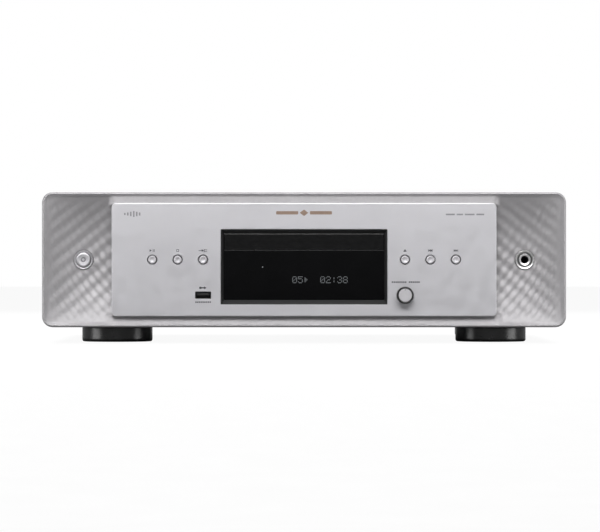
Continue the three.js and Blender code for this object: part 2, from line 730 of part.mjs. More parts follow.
// The drawer: disc wells, a slot open to the rear for turntable and lens, side skirts and a rack below.
function discTray() {
  const long = [trayFront, trayRear];
  const slab = block([-trayHalf, trayHalf], long, [slabBottom, trayTop]);
  const skirts = [-1, 1].map((side) => {
    const x = [side * trayHalf, side * (trayHalf - 2.4)].sort((a, b) => a - b);
    return block(x, long, [trayBottom, slabBottom + 0.1]);
  });
  const rackLength = [pinionY - 8, trayRear];
  const rackOutline = rackShape(RACK_MODULE, rackX, rackX - 5, rackLength, pinionY);
  const rack = extrudeZ(rackOutline, [trayBottom + 0.3, slabBottom + 0.1]);
  const well = rod("z", DISC_DIAMETER / 2 + DISC_PLAY, [wellFloor, trayTop + 1], [0, discY], 48);
  const smallWell = rod("z", 40 + 0.7, [wellFloor - 0.8, wellFloor + 1], [0, discY], 36);
  const slotZ = [slabBottom - 1, trayTop + 1];
  const slotEnd = rod("z", SLOT_WIDTH / 2, slotZ, [0, discY], 24);
  const slot = block([-SLOT_WIDTH / 2, SLOT_WIDTH / 2], [discY, trayRear + 1], slotZ);
  return cut(join(slab, ...skirts, rack), well, smallWell, slotEnd, slot);
}

function trayDoor() {
  const half = glassHalf - 0.2;
  const y = [recessY, recessY + DOOR_THICKNESS];
  return bevelledPlate([-half, half], y, [doorBottom, doorTop], 0.8, 0.4, 2);
}

function driveGear() {
  const place = [pinionX, pinionY];
  const pulley = rod("z", PULLEY_DIAMETER / 2, pulleyZ, place, 24);
  const groove = turned(
    "z",
    [
      [PULLEY_DIAMETER / 2 - 1.2, pulleyZ[0] + 1],
      [PULLEY_DIAMETER / 2 + 1, pulleyZ[0] + 1],
      [PULLEY_DIAMETER / 2 + 1, pulleyZ[1] - 1],
      [PULLEY_DIAMETER / 2 - 1.2, pulleyZ[1] - 1],
      [PULLEY_DIAMETER / 2 - 1.2, pulleyZ[0] + 1],
    ],
    place,
    24,
  );
  const boss = rod("z", 5, [pulleyZ[0], pinionZ[0] + 0.1], place, 20);
  const outline = gearShape(RACK_MODULE, PINION_TEETH, Math.PI);
  const pinion = extrudeZ(outline, pinionZ).translate(pinionX, pinionY, 0);
  const bore = rod("z", 2.3, [pulleyZ[0] - 1, pinionZ[1] + 1], place, 16);
  return cut(join(pulley, boss, pinion), groove, bore);
}

function loadingMotor() {
  const body = rod("z", 10.5, [shelfTop - 2.5 - GAP - 18, shelfTop - 2.5 - GAP], [motorX, pinionY], 24);
  const shaft = rod("z", 1, [shelfTop - 4, pulleyZ[1] - 0.5], [motorX, pinionY], 12);
  return join(body, shaft);
}

function motorPulley() {
  const disc = rod("z", MOTOR_PULLEY_DIAMETER / 2, pulleyZ, [motorX, pinionY], 20);
  const bore = rod("z", 1.25, [pulleyZ[0] - 1, pulleyZ[1] - 0.3], [motorX, pinionY], 12);
  return cut(disc, bore);
}

// A flat loop round the two pulleys, straight between their sides.
function driveBelt() {
  const thickness = 1;
  const clear = 0.35;
  const loop = (extra) => {
    const shape = new THREE.Shape();
    const bigRadius = PULLEY_DIAMETER / 2 - 1.2 + clear + extra;
    const smallRadius = MOTOR_PULLEY_DIAMETER / 2 + clear + extra;
    const lean = Math.acos((bigRadius - smallRadius) / PULLEY_SPACING);
    shape.absarc(pinionX, pinionY, bigRadius, lean, 2 * Math.PI - lean);
    shape.absarc(motorX, pinionY, smallRadius, -lean, lean);
    return shape;
  };
  const middle = (pulleyZ[0] + pulleyZ[1]) / 2;
  return cut(extrudeZ(loop(thickness), span(middle, 1)), extrudeZ(loop(0), span(middle, 3)));
}

// ---------------------------------------------------------------------------------------------
// Disc drive: clamp, lift frame, turntable and laser
// ---------------------------------------------------------------------------------------------

const PUCK_NECK = 21;
function clampBridge() {
  const strap = block([-frameHalf, frameHalf], span(discY, 34), [bridgeBottom, bridgeBottom + SHEET]);
  const hole = rod("z", PUCK_NECK / 2 + 1, [bridgeBottom - 1, bridgeBottom + 3], [0, discY], 28);
  return cut(strap, hole);
}

const hubTop = discPlane + 1.7;
function clampPuck() {
  const low = hubTop + 0.4;
  const high = bridgeBottom + SHEET + GAP;
  const profile = [
    [0, low],
    [14, low],
    [14, low + 2],
    [PUCK_NECK / 2, low + 2],
    [PUCK_NECK / 2, high],
    [PUCK_NECK / 2 + 4.5, high],
    [PUCK_NECK / 2 + 4.5, high + 1.8],
    [0, high + 1.8],
  ];
  return turned("z", profile, [0, discY], 24);
}

const LIFT_HALF = 50;
const DECK_HALF = 44;
const deckY = [liftFront + 4, pivotY - 8];
function liftFrame() {
  const outer = block([-LIFT_HALF, LIFT_HALF], [liftFront, pivotY + 5], [liftBottom, liftTop]);
  const inner = block([-DECK_HALF, DECK_HALF], [liftFront + 6, pivotY - 6], [liftBottom - 1, liftTop + 1]);
  const reach = frameHalf - 1;
  const pins = [-1, 1].map((side) => {
    const x = [side * (LIFT_HALF - 1), side * reach].sort((a, b) => a - b);
    return rod("x", 2, x, [pivotY, pivotZ], 16);
  });
  return join(cut(outer, inner), ...pins);
}

const deckTop = deckBottom + 1.5;
const rodX = 22;
const rodZ = deckTop + 3.2;
const sledY = discY + SLED_START;
const sledPitch = (SLED_MODULE * SLED_TEETH) / 2;
const sledRackX = rodX + 6;
const sledGearX = sledRackX + sledPitch;
const sledGearY = sledY + 9;
const sledGearZ = [deckTop + 1.5, deckTop + 5];
const rodY = [discY - 14, sledY + SLED_TRAVEL + 24];

function mechDeck() {
  const plate = block([-DECK_HALF - 2, DECK_HALF + 2], deckY, [deckBottom, deckTop]);
  const sledSlot = block([-17, 17], [sledY - 16, sledY + SLED_TRAVEL + 16], [deckBottom - 1, deckTop + 1]);
  const spindle = rod("z", 3, [deckBottom - 1, deckTop + 1], [0, discY], 20);
  const gearShaft = rod("z", 2, [deckBottom - 1, deckTop + 1], [sledGearX, sledGearY], 16);
  const tabs = [-rodX, rodX].flatMap((x) =>
    [rodY[0] - 1.2, rodY[1] + 1.2].map((y) => block(span(x, 6), span(y, 1.6), [deckTop - 0.1, rodZ + 3])),
  );
  return join(cut(plate, sledSlot, spindle, gearShaft), ...tabs);
}

function spindleMotor() {
  const body = rod("z", 14, [deckBottom - GAP - 11, deckBottom - GAP], [0, discY], 28);
  const shaft = rod("z", 1, [deckBottom - 2, discPlane - 3], [0, discY], 12);
  return join(body, shaft);
}

function turntable() {
  const radius = TURNTABLE_DIAMETER / 2;
  const profile = [
    [1.25, deckTop + 0.6],
    [5, deckTop + 0.6],
    [5, discPlane - 2],
    [radius, discPlane - 2],
    [radius, discPlane],
    [7.4, discPlane],
    [6.6, hubTop],
    [0, hubTop],
    [0, discPlane - 2.6],
    [1.25, discPlane - 2.6],
    [1.25, deckTop + 0.6],
  ];
  return turned("z", profile, [0, discY], 24);
}

// Carriage on two rods, with a lens on top and a rack on its right-hand side.
function laserSled() {
  const body = block([-14, 14], [sledY - 9, sledY + 15], [deckBottom - 5, rodZ + 2.4]);
  const wings = block([-rodX - 3, rodX + 3], span(sledY, 16), [rodZ - 2.6, rodZ + 2.4]);
  const rackLength = [sledGearY - SLED_TRAVEL - 3, sledGearY + 3];
  const outline = rackShape(SLED_MODULE, sledRackX, rodX + 2.5, rackLength, sledGearY);
  const rack = extrudeZ(outline, [sledGearZ[0] + 0.3, sledGearZ[1] - 0.3]);
  const lens = rod("z", 4, [rodZ + 2, discPlane - 2], [0, sledY], 20);
  const rodHoles = [-rodX, rodX].map((x) => rod("y", 1.8, [sledY - 60, sledY + 60], [x, rodZ], 16));
  return cut(join(body, wings, rack, lens), ...rodHoles);
}

function sledGear() {
  const outline = gearShape(SLED_MODULE, SLED_TEETH, Math.PI);
  const gear = extrudeZ(outline, sledGearZ).translate(sledGearX, sledGearY, 0);
  const bore = rod("z", 1.25, [sledGearZ[0] - 1, sledGearZ[1] - 0.8], [sledGearX, sledGearY], 12);
  return cut(gear, bore);
}

function sledMotor() {
  const body = rod("z", 7, [deckBottom - GAP - 12, deckBottom - GAP], [sledGearX, sledGearY], 24);
  const shaft = rod("z", 1, [deckBottom - 2, sledGearZ[1] - 1.2], [sledGearX, sledGearY], 12);
  return join(body, shaft);
}

// ---------------------------------------------------------------------------------------------
// Rear sockets and electronics
// ---------------------------------------------------------------------------------------------

// Barrel through the rear panel, washer outside, body on the board inside.
function phonoJack(x) {
  const barrel = rod("y", RCA_DIAMETER / 2, [rearY - 3, rearY + JACK_REACH], [x, rcaZ], 16);
  const washer = rod("y", RCA_DIAMETER / 2 + 2.2, [rearY + GAP, rearY + GAP + 1], [x, rcaZ], 16);
  const back = rearY - SHEET - GAP;
  const body = block(span(x, 11), [back - 13, back], [boardTop + GAP, rcaZ + 6]);
  const pinHole = rod("y", 1.7, [rearY - 2, rearY + JACK_REACH + 1], [x, rcaZ], 12);
  return cut(join(barrel, washer, body), pinHole);
}

const OPTICAL_PORT = 6;
function opticalSocket() {
  const y = [rearY - SHEET - 12, rearY + 2];
  const body = block(span(opticalX, OPTICAL_BODY), y, span(rcaZ, OPTICAL_BODY));
  const port = block(span(opticalX, OPTICAL_PORT), [y[1] - 9, y[1] + 1], span(rcaZ, OPTICAL_PORT));
  const foot = block(span(opticalX, 6), [y[0] + 1, y[0] + 7], [boardTop + GAP, rcaZ]);
  return cut(join(body, foot), port);
}

const inletRecess = [23, 15.6, 15];
function mainsInlet() {
  const mouth = rearY + 2.2;
  const body = block(span(inletX, INLET_BODY[0]), [mouth - 19, mouth], span(inletZ, INLET_BODY[1]));
  const flange = block(span(inletX, 48), [rearY + GAP, mouth], span(inletZ, 23));
  const recessY = [mouth - inletRecess[2], mouth + 1];
  const recess = block(span(inletX, inletRecess[0]), recessY, span(inletZ, inletRecess[1]));
  const blades = [
    [-7, -2.2],
    [0, 2.2],
    [7, -2.2],
  ].map(([dx, dz]) => block(span(inletX + dx, 2), [recessY[0] - 1, recessY[0] + 9.5], span(inletZ + dz, 4)));
  return join(cut(join(body, flange), recess), ...blades);
}

// A board on four posts, with the components given to it.
function circuitBoard(x, y, components) {
  const plate = block(x, y, [boardBottom, boardTop]);
  const posts = [x[0] + 6, x[1] - 6].flatMap((px) =>
    [y[0] + 6, y[1] - 6].map((py) => rod("z", 3, [baseTop + GAP, boardBottom + 0.1], [px, py], 12)),
  );
  return join(plate, ...posts, ...components);
}

const boardSides = [frameHalf + 10, innerHalf - SHEET - 6];
const mainBoardY = [rearY - 150, rearY - SHEET - 2];
const powerBoardY = [rearY - 120, rearY - SHEET - 2];
const standing = [boardTop - 0.1];
const ribbonY = mainBoardY[0] + 34;

function mainBoard() {
  const [left, right] = boardSides;
  const middle = (left + right) / 2;
  const capacitors = [0, 1, 2, 3].map((n) =>
    rod("z", 6, [standing[0], boardTop + 20], [right - 12, mainBoardY[0] + 30 + n * 17], 18),
  );
  const chips = [-1, 1].map((side) =>
    block(span(middle + side * 14, 16), span(mainBoardY[0] + 60, 16), [standing[0], boardTop + 2]),
  );
  const shield = block(span(middle - 2, 40), span(mainBoardY[0] + 100, 28), [standing[0], boardTop + 9]);
  const connector = block(span(left + 6, 8), span(ribbonY, 26), [standing[0], boardTop + 7]);
  return circuitBoard([left, right], mainBoardY, [...capacitors, ...chips, shield, connector]);
}

const leadEnd = [inletX + 24, powerBoardY[0] + 60];
function powerBoard() {
  const [right, left] = boardSides.map((x) => -x);
  const middle = (left + right) / 2;
  const reservoirs = [-1, 1].map((side) =>
    rod("z", 11, [standing[0], boardTop + 30], [middle + side * 14, powerBoardY[0] + 22], 24),
  );
  const heatSink = block(span(right - 10, 8), span(powerBoardY[0] + 62, 56), [standing[0], boardTop + 34]);
  const terminal = block(span(leadEnd[0], 16), span(leadEnd[1], 10), [standing[0], boardTop + 8]);
  return circuitBoard([left, right], powerBoardY, [...reservoirs, heatSink, terminal]);
}

const transformerX = -(frameHalf + innerHalf) / 2;
const transformerY = bodyFront + TRANSFORMER_DIAMETER / 2 + 20;
const coreZ = [baseTop + GAP, baseTop + GAP + TRANSFORMER_HEIGHT];
function toroidTransformer() {
  const outer = TRANSFORMER_DIAMETER / 2;
  const hole = 9;
  const soft = 7;
  const [low, high] = coreZ;
  const profile = [
    [hole, low + 3],
    [hole + 3, low],
    [outer - soft, low],
    [outer - 2, low + 2],
    [outer, low + soft],
    [outer, high - soft],
    [outer - 2, high - 2],
    [outer - soft, high],
    [hole + 3, high],
    [hole, high - 3],
    [hole, low + 3],
  ];
  return turned("z", profile, [transformerX, transformerY], 28);
}

// Pressed dish washer and its bolt, which hold the transformer down.
function transformerClamp() {
  const high = coreZ[1];
  const profile = [
    [0, coreZ[0] + 2],
    [3, coreZ[0] + 2],
    [3, high + GAP],
    [28, high + GAP],
    [30, high + 1.8],
    [28, high + 2],
    [6, high + 2],
    [6, high + 6],
    [0, high + 6],
  ];
  return turned("z", profile, [transformerX, transformerY], 20);
}

const LEAD_RADIUS = 2.6;
// The inlet's insulated lead, bent down onto the power board's terminal.
function mainsLead() {
  const from = rearY + 2.2 - 19 - GAP;
  const path = new THREE.CatmullRomCurve3([
    new THREE.Vector3(inletX, from, inletZ),
    new THREE.Vector3(inletX, from - 9, inletZ),
    new THREE.Vector3(inletX + 5, from - 20, inletZ + 3),
    new THREE.Vector3(leadEnd[0] - 3, leadEnd[1] + 6, inletZ),
    new THREE.Vector3(leadEnd[0], leadEnd[1], boardTop + 16),
    new THREE.Vector3(leadEnd[0], leadEnd[1], boardTop + 8 + GAP),
  ]);
  const section = new THREE.Shape();
  section.absarc(0, 0, LEAD_RADIUS, 0, 2 * Math.PI);
  return new THREE.ExtrudeGeometry(section, { extrudePath: path, steps: 20, curveSegments: 4 });
}

// Flat cable from the drive's side to the main board.
function driveRibbon() {
  const thickness = 0.5;
  const start = new THREE.Vector2(frameHalf + GAP, shelfTop + 2);
  const end = new THREE.Vector2(boardSides[0] + 6, boardTop + 7 + GAP);
  const bend = new THREE.CubicBezierCurve(
    start,
    new THREE.Vector2(end.x + 2, start.y + 6),
    new THREE.Vector2(end.x, start.y - 4),
    end,
  );
  const line = bend.getPoints(10);
  const side = (sign) =>
    line.map((p, i) => {
      const along = bend.getTangent(i / (line.length - 1));
      const reach = (sign * thickness) / 2;
      return new THREE.Vector2(p.x - along.y * reach, p.y + along.x * reach);
    });
  return extrudeY(new THREE.Shape([...side(1), ...side(-1).reverse()]), span(ribbonY, 22));
}

// ---------------------------------------------------------------------------------------------
// Assembly
// ---------------------------------------------------------------------------------------------

part("top_cover", topCover(), silverPaint);
part("base_pan", basePan(), zincSteel);
part("rear_panel", rearPanel(), blackSteel);
part("front_surround", frontSurround(), silverPaint);
part("centre_panel", centrePanel(), brushedSilver);
part("panel_carrier", panelCarrier(), blackPlastic);

for (const [sideName, side] of [["left", -1], ["right", 1]]) {
  const caseSide = halfWidth - COVER_STEP;
  part(`foot_front_${sideName}`, foot(side * (caseSide - FOOT_INSET), rimY + FOOT_SETBACK), blackPlastic);
  part(`foot_rear_${sideName}`, foot(side * (caseSide - REAR_FOOT_INSET), rearY - FOOT_SETBACK), blackPlastic);
}

part("window_frame", windowFrame(), glossBlack);
const glassX = [-glassHalf + 0.2, glassHalf - 0.2];
const glassY = [recessY, recessY + GLASS_THICKNESS];
part("display_window", block(glassX, glassY, [glassBottom + 0.2, glassTop]), smokedAcrylic);
part("display_module", displayModule(), circuitGreen);
part("button_board", buttonBoard(), circuitGreen);

buttonNames.forEach((name, i) => part(name, pushButton(buttonX[i]), brushedSilver));
part("level_knob", levelKnob(), brushedSilver);
const shaftY = [knobBoreEnd + GAP, controlFront + 3.3];
part("level_shaft", rod("y", SHAFT_DIAMETER / 2, shaftY, [knobX, lowerZ], 20), zincSteel);
part("level_control", levelControl(), greyPlastic);
part("usb_socket", usbSocket(), zincSteel);
part("power_collar", collar(-wingControlX), brushedSilver);
part("power_button", powerButton(), brushedSilver);
part("power_switch", powerSwitch(), greyPlastic);
part("headphone_ring", collar(wingControlX), chrome);
part("headphone_jack", headphoneJack(), chrome);

part("drive_frame", driveFrame(), blackPlastic);
part("disc_tray", discTray(), blackPlastic);
part("tray_door", trayDoor(), glossBlack);
part("drive_gear", driveGear(), whiteNylon);
part("loading_motor", loadingMotor(), zincSteel);
part("motor_pulley", motorPulley(), whiteNylon);
part("drive_belt", driveBelt(), rubber);
part("clamp_bridge", clampBridge(), zincSteel);
part("clamp_puck", clampPuck(), blackPlastic);
part("lift_frame", liftFrame(), greyPlastic);
part("mech_deck", mechDeck(), zincSteel);
part("spindle_motor", spindleMotor(), zincSteel);
part("turntable", turntable(), blackPlastic);
part("guide_rod_left", rod("y", 1.5, rodY, [-rodX, rodZ], 16), chrome);
part("guide_rod_right", rod("y", 1.5, rodY, [rodX, rodZ], 16), chrome);
part("laser_sled", laserSled(), lensGlass);
part("sled_gear", sledGear(), whiteNylon);
part("sled_motor", sledMotor(), zincSteel);

for (const [name, x] of Object.entries(rcaPlaces)) part(name, phonoJack(x), gold);
part("optical_socket", opticalSocket(), blackPlastic);
part("mains_inlet", mainsInlet(), blackPlastic);
part("main_board", mainBoard(), circuitGreen);
part("power_board", powerBoard(), circuitGreen);
part("toroid_transformer", toroidTransformer(), copperWinding);
part("transformer_clamp", transformerClamp(), zincSteel);
part("mains_lead", mainsLead(), rubber);
part("drive_ribbon", driveRibbon(), whiteNylon);

export default player;
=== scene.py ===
"""Studio scene of a full-width disc player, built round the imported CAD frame.

Lengths are in millimetres until a mesh is made.
"""

import math

import bmesh
import bpy
import numpy as np
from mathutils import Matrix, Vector
from mathutils.geometry import tessellate_polygon


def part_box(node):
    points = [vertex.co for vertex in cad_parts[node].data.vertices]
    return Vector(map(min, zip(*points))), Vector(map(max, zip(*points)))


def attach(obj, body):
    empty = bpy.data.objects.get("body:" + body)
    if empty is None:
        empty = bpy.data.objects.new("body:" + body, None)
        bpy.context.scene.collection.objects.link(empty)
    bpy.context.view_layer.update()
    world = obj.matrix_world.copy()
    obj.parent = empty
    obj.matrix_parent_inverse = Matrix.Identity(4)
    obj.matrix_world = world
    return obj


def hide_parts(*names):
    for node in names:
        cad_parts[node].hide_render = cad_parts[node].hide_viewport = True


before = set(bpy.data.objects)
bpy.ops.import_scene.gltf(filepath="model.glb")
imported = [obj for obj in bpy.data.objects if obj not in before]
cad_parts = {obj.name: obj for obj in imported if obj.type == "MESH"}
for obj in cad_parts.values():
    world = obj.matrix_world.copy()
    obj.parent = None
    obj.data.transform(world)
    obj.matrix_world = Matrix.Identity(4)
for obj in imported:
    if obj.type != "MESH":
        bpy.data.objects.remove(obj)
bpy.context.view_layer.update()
MM = 0.001
TAU = 2 * math.pi
CASE = "case"
link = bpy.context.scene.collection.objects.link


# ---- Places read from the CAD, in millimetres ----


def cad(node):
    """Lowest and highest corner of a CAD node, in millimetres."""
    low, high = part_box(node)
    return np.array(low) / MM, np.array(high) / MM


def middle(node):
    low, high = cad(node)
    return (low + high) / 2


def depth(node):
    """Where a node starts and ends along Y."""
    low, high = cad(node)
    return low[1], high[1]


def half_width(node):
    low, high = cad(node)
    return (high[0] - low[0]) / 2


surround_low, surround_high = cad("front_surround")
panel_low, panel_high = cad("centre_panel")
window_low, window_high = cad("window_frame")
glass_low, glass_high = cad("display_window")
door_low, door_high = cad("tray_door")
HALF_WIDTH = surround_high[0]
CASE_LOW, CASE_HIGH = surround_low[2], surround_high[2]
MID_Z = (CASE_LOW + CASE_HIGH) / 2
HALF_HEIGHT = (CASE_HIGH - CASE_LOW) / 2
FRONT = panel_low[1]
RIM = FRONT + 4.0  # the surround's front edge, 4 mm behind the panel's face
PANEL_HALF = panel_high[0]
KEY_NAMES = [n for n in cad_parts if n.endswith("_button") and n != "power_button"]
FEET = [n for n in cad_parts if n.startswith("foot_")]


# ---- Materials ----


class Tree:
    """Short ways to add and join shader nodes."""

    def __init__(self, name):
        self.material = bpy.data.materials.new(name)
        self.material.use_nodes = True
        self.nodes = self.material.node_tree.nodes
        self.link = self.material.node_tree.links.new
        self.shader = self.nodes["Principled BSDF"]
        self.where = self.nodes.new("ShaderNodeTexCoord").outputs["Object"]

    def add(self, kind, vector=None, **inputs):
        """A node with some inputs set. vector is what feeds its Vector input."""
        node = self.nodes.new(kind)
        for key, value in inputs.items():
            node.inputs[key.replace("_", " ")].default_value = value
        if vector is not None:
            self.link(vector, node.inputs["Vector"])
        return node

    def set(self, **values):
        for key, value in values.items():
            self.shader.inputs[key.replace("_", " ")].default_value = value

    def noise(self, scale, detail=2.0, rough=0.5):
        node = self.add("ShaderNodeTexNoise", self.where, Scale=scale, Detail=detail, Roughness=rough)
        return node.outputs["Fac"]

    def spread(self, source, low, high, start=0.3, end=0.7):
        """Maps start..end of a value to low..high."""
        node = self.add("ShaderNodeMapRange", From_Min=start, From_Max=end, To_Min=low, To_Max=high)
        self.link(source, node.inputs["Value"])
        return node.outputs["Result"]

    def mix(self, share, first, second):
        """One colour turning into another. Each is a plain colour or a node's output."""
        node = self.add("ShaderNodeMix")
        node.data_type = "RGBA"
        self.link(share, node.inputs["Factor"])
        for slot, colour in ((6, first), (7, second)):
            if isinstance(colour, tuple):
                node.inputs[slot].default_value = (*colour, 1)
            else:
                self.link(colour, node.inputs[slot])
        return node.outputs[2]

    def bump(self, source, strength, distance):
        node = self.add("ShaderNodeBump", Strength=strength, Distance=distance)
        self.link(source, node.inputs["Height"])
        self.link(node.outputs["Normal"], self.shader.inputs["Normal"])

    def feed(self, socket, source):
        self.link(source, self.shader.inputs[socket])


def finish_material(name, colour, rough, metallic, mottle, grain=(2500, 2e-5, 0.25), extras=None):
    """A finish whose colour and gloss wander a little, over a fine grain.

    mottle is the share and scale of the wander, and grain is scale, depth in metres and strength.
    extras may hold rough_spread, worn (the grey that sharp edges turn to, and how far) and shader inputs.
    """
    tree = Tree(name)
    sockets = dict(extras or {})
    rough_spread, worn = sockets.pop("rough_spread", 0.04), sockets.pop("worn", None)
    cloud = tree.noise(mottle[1], 3.0)
    dark = tuple(c * (1 - mottle[0]) for c in colour)
    light = tuple(min(1.0, c * (1 + mottle[0])) for c in colour)
    shade = tree.mix(tree.spread(cloud, 0, 1), dark, light)
    if worn:
        edge = tree.add("ShaderNodeNewGeometry").outputs["Pointiness"]
        shade = tree.mix(tree.spread(edge, 0, worn[1], 0.53, 0.62), shade, (worn[0],) * 3)
    tree.feed("Base Color", shade)
    fine = tree.noise(grain[0], 2.0, 0.6)
    gloss = tree.noise(mottle[1] * 6, 3.0)
    tree.feed("Roughness", tree.spread(gloss, rough - rough_spread, rough + rough_spread))
    tree.bump(fine, grain[2], grain[1])
    tree.set(Metallic=metallic, **sockets)
    return tree.material


def circuit_pattern(tree):
    """Colour of green solder mask over copper tracks, with tinned pads. Also gives the tracks alone."""
    tracks = []
    for turn in (0.0, math.pi / 2):
        mapping = tree.add("ShaderNodeMapping", tree.where, Rotation=(0, 0, turn))
        shape = {"Scale": 110.0, "Distortion": 3.0, "Detail": 0.0, "Detail_Scale": 0.3}
        wave = tree.add("ShaderNodeTexWave", mapping.outputs["Vector"], **shape)
        tracks.append(tree.spread(wave.outputs["Fac"], 0, 1, 0.75, 0.8))
    region = tree.spread(tree.noise(45.0, 0.0), 0, 1, 0.49, 0.51)
    first, second = [tree.mix(track, (0.008, 0.075, 0.03), (0.015, 0.14, 0.05)) for track in tracks]
    mask = tree.mix(region, first, second)
    cells = tree.add("ShaderNodeTexVoronoi", tree.where, Scale=240.0, Randomness=0.55)
    pads = tree.spread(cells.outputs["Distance"], 1, 0, 0.14, 0.18)
    return tree.mix(pads, mask, (0.42, 0.41, 0.38)), tracks[0]


def board_material(name, levels=()):
    """Circuit board. levels holds (height, dark, light): what stands above a height has that colour."""
    tree = Tree(name)
    colour, tracks = circuit_pattern(tree)
    place = tree.add("ShaderNodeSeparateXYZ", tree.where)
    for height, dark, light in levels:
        above = tree.spread(place.outputs["Z"], 0, 1, height * MM, height * MM + 0.0001)
        shade = tree.mix(tree.spread(tree.noise(500.0), 0, 1), dark, light)
        colour = tree.mix(above, colour, shade)
    tree.feed("Base Color", colour)
    tree.feed("Roughness", tree.spread(tree.noise(300.0), 0.3, 0.42))
    tree.bump(tracks, 0.4, 0.00004)
    return tree.material


def winding_material():
    """Copper wire wound round the ring under clear tape: fine spokes from the ring's middle."""
    tree = Tree("winding")
    turn = 1 / 420  # share of the circle that one strand and the gap beside it take
    centre = middle("toroid_transformer") * MM
    mapping = tree.add("ShaderNodeMapping", tree.where, Location=(-centre[0], -centre[1], 0))
    gradient = tree.add("ShaderNodeTexGradient", mapping.outputs["Vector"])
    gradient.gradient_type = "RADIAL"
    strands = tree.add("ShaderNodeMath")
    strands.operation = "PINGPONG"
    strands.inputs[1].default_value = turn
    tree.link(gradient.outputs["Fac"], strands.inputs[0])
    wires = tree.spread(strands.outputs[0], 0, 1, 0, turn)
    tree.feed("Base Color", tree.mix(wires, (0.16, 0.045, 0.015), (0.48, 0.17, 0.06)))
    tree.feed("Roughness", tree.spread(tree.noise(200.0), 0.25, 0.4))
    tree.bump(wires, 0.7, 0.0004)
    tree.set(Metallic=0.6, Coat_Weight=0.4)
    return tree.material


def glow_material(name, colour, strength):
    tree = Tree(name)
    patchy = tree.spread(tree.noise(900.0), 0, 1)
    tree.feed("Emission Color", tree.mix(patchy, tuple(c * 0.8 for c in colour), colour))
    tree.set(Base_Color=(0.02, 0.02, 0.02, 1), Emission_Strength=strength, Roughness=0.4)
    return tree.material


# Colour, roughness, metallic share, (mottle share, scale), (grain scale, depth, strength), the rest.
EVEN = {"rough_spread": 0.03}
FINISHES = {
    "silver_paint": ((0.468, 0.457, 0.468), 0.62, 0.95, (0.03, 60), (5200, 8e-6, 0.3)),
    "cover_paint": ((0.4, 0.4, 0.405), 0.48, 0.85, (0.03, 25), (2600, 3e-5, 0.35)),
    "panel_silver": ((0.675, 0.666, 0.692), 0.48, 0.97, (0.015, 18), (6500, 8e-6, 0.3)),
    "key_silver": ((0.65, 0.637, 0.66), 0.52, 1.0, (0.03, 300), (5000, 6e-6, 0.25)),
    "bright_nickel": ((0.86, 0.855, 0.85), 0.36, 1.0, (0.02, 300), (1500, 4e-6, 0.1), EVEN),
    "polished": ((0.78, 0.78, 0.79), 0.12, 1.0, (0.02, 300), (1500, 4e-6, 0.1), EVEN),
    # Near-black for a sleeve, a disc and a ring set in the sockets' hollows: it paints their shade.
    "painted_shade_black": ((0.006, 0.006, 0.006), 0.5, 0.0, (0.3, 60)),
    "gloss_black": ((0.018, 0.018, 0.0185), 0.38, 0.0, (0.15, 60), (1800, 4e-6, 0.15), EVEN),
    "door_black": ((0.0022, 0.0022, 0.0024), 0.24, 0.0, (0.1, 60), (4200, 6e-6, 0.2), EVEN),
    "smoked_glass": (
        (0.0022, 0.0022, 0.0025), 0.07, 0.0, (0.2, 60), (300, 3e-6, 0.05),
        {"rough_spread": 0.015, "Specular_IOR_Level": 0.35},
    ),
    "matte_black": ((0.014, 0.014, 0.014), 0.5, 0.0, (0.15, 60), (3800, 3e-5, 0.4), {"worn": (0.05, 0.5)}),
    "tray_black": ((0.02, 0.02, 0.021), 0.42, 0.0, (0.12, 60), (4600, 2e-5, 0.35), {"worn": (0.07, 0.5)}),
    "foot_black": (
        (0.0075, 0.0075, 0.008), 0.3, 0.0, (0.15, 120), (3000, 2e-6, 0.1),
        {"rough_spread": 0.03, "Coat_Weight": 0.75, "Coat_Roughness": 0.22},
    ),
    "grey_plastic": ((0.085, 0.09, 0.095), 0.5, 0.0, (0.08, 60), (3500, 3e-5, 0.4), {"worn": (0.2, 0.4)}),
    "zinc": (
        (0.42, 0.43, 0.41), 0.36, 1.0, (0.14, 90), (1500, 1e-5, 0.25),
        {"rough_spread": 0.1, "worn": (0.7, 0.4)},
    ),
    "dark_nickel": ((0.06, 0.06, 0.061), 0.35, 0.7, (0.1, 300), (2500, 6e-6, 0.25)),
    "dark_steel": ((0.032, 0.032, 0.034), 0.5, 0.2, (0.1, 60), (2200, 4e-5, 0.5), {"worn": (0.08, 0.5)}),
    "gold": ((0.78, 0.5, 0.14), 0.18, 1.0, (0.05, 200), (1500, 4e-6, 0.25)),
    "nylon": ((0.66, 0.64, 0.57), 0.42, 0.0, (0.04, 60), (2500, 1e-5, 0.25), {"Subsurface_Weight": 0.08}),
    "rubber": ((0.012, 0.012, 0.012), 0.72, 0.0, (0.2, 60), (1800, 4e-5, 0.25), {"rough_spread": 0.08}),
    "cast_alloy": ((0.33, 0.34, 0.36), 0.42, 1.0, (0.1, 150), (1600, 4e-5, 0.5)),
    "copper_mark": ((0.38, 0.275, 0.215), 0.4, 0.7, (0.05, 300), (4000, 4e-6, 0.25)),
    "ink": ((0.075, 0.075, 0.085), 0.55, 0.0, (0.1, 400)),
    "ink_light": ((0.27, 0.27, 0.285), 0.55, 0.0, (0.1, 400)),
    "ink_white": ((0.5, 0.5, 0.5), 0.5, 0.0, (0.05, 400)),
    "red_plastic": ((0.5, 0.012, 0.012), 0.35, 0.0, (0.06, 60)),
    "white_plastic": ((0.72, 0.72, 0.7), 0.35, 0.0, (0.04, 60)),
    "orange_plastic": ((0.7, 0.2, 0.01), 0.35, 0.0, (0.06, 60)),
}
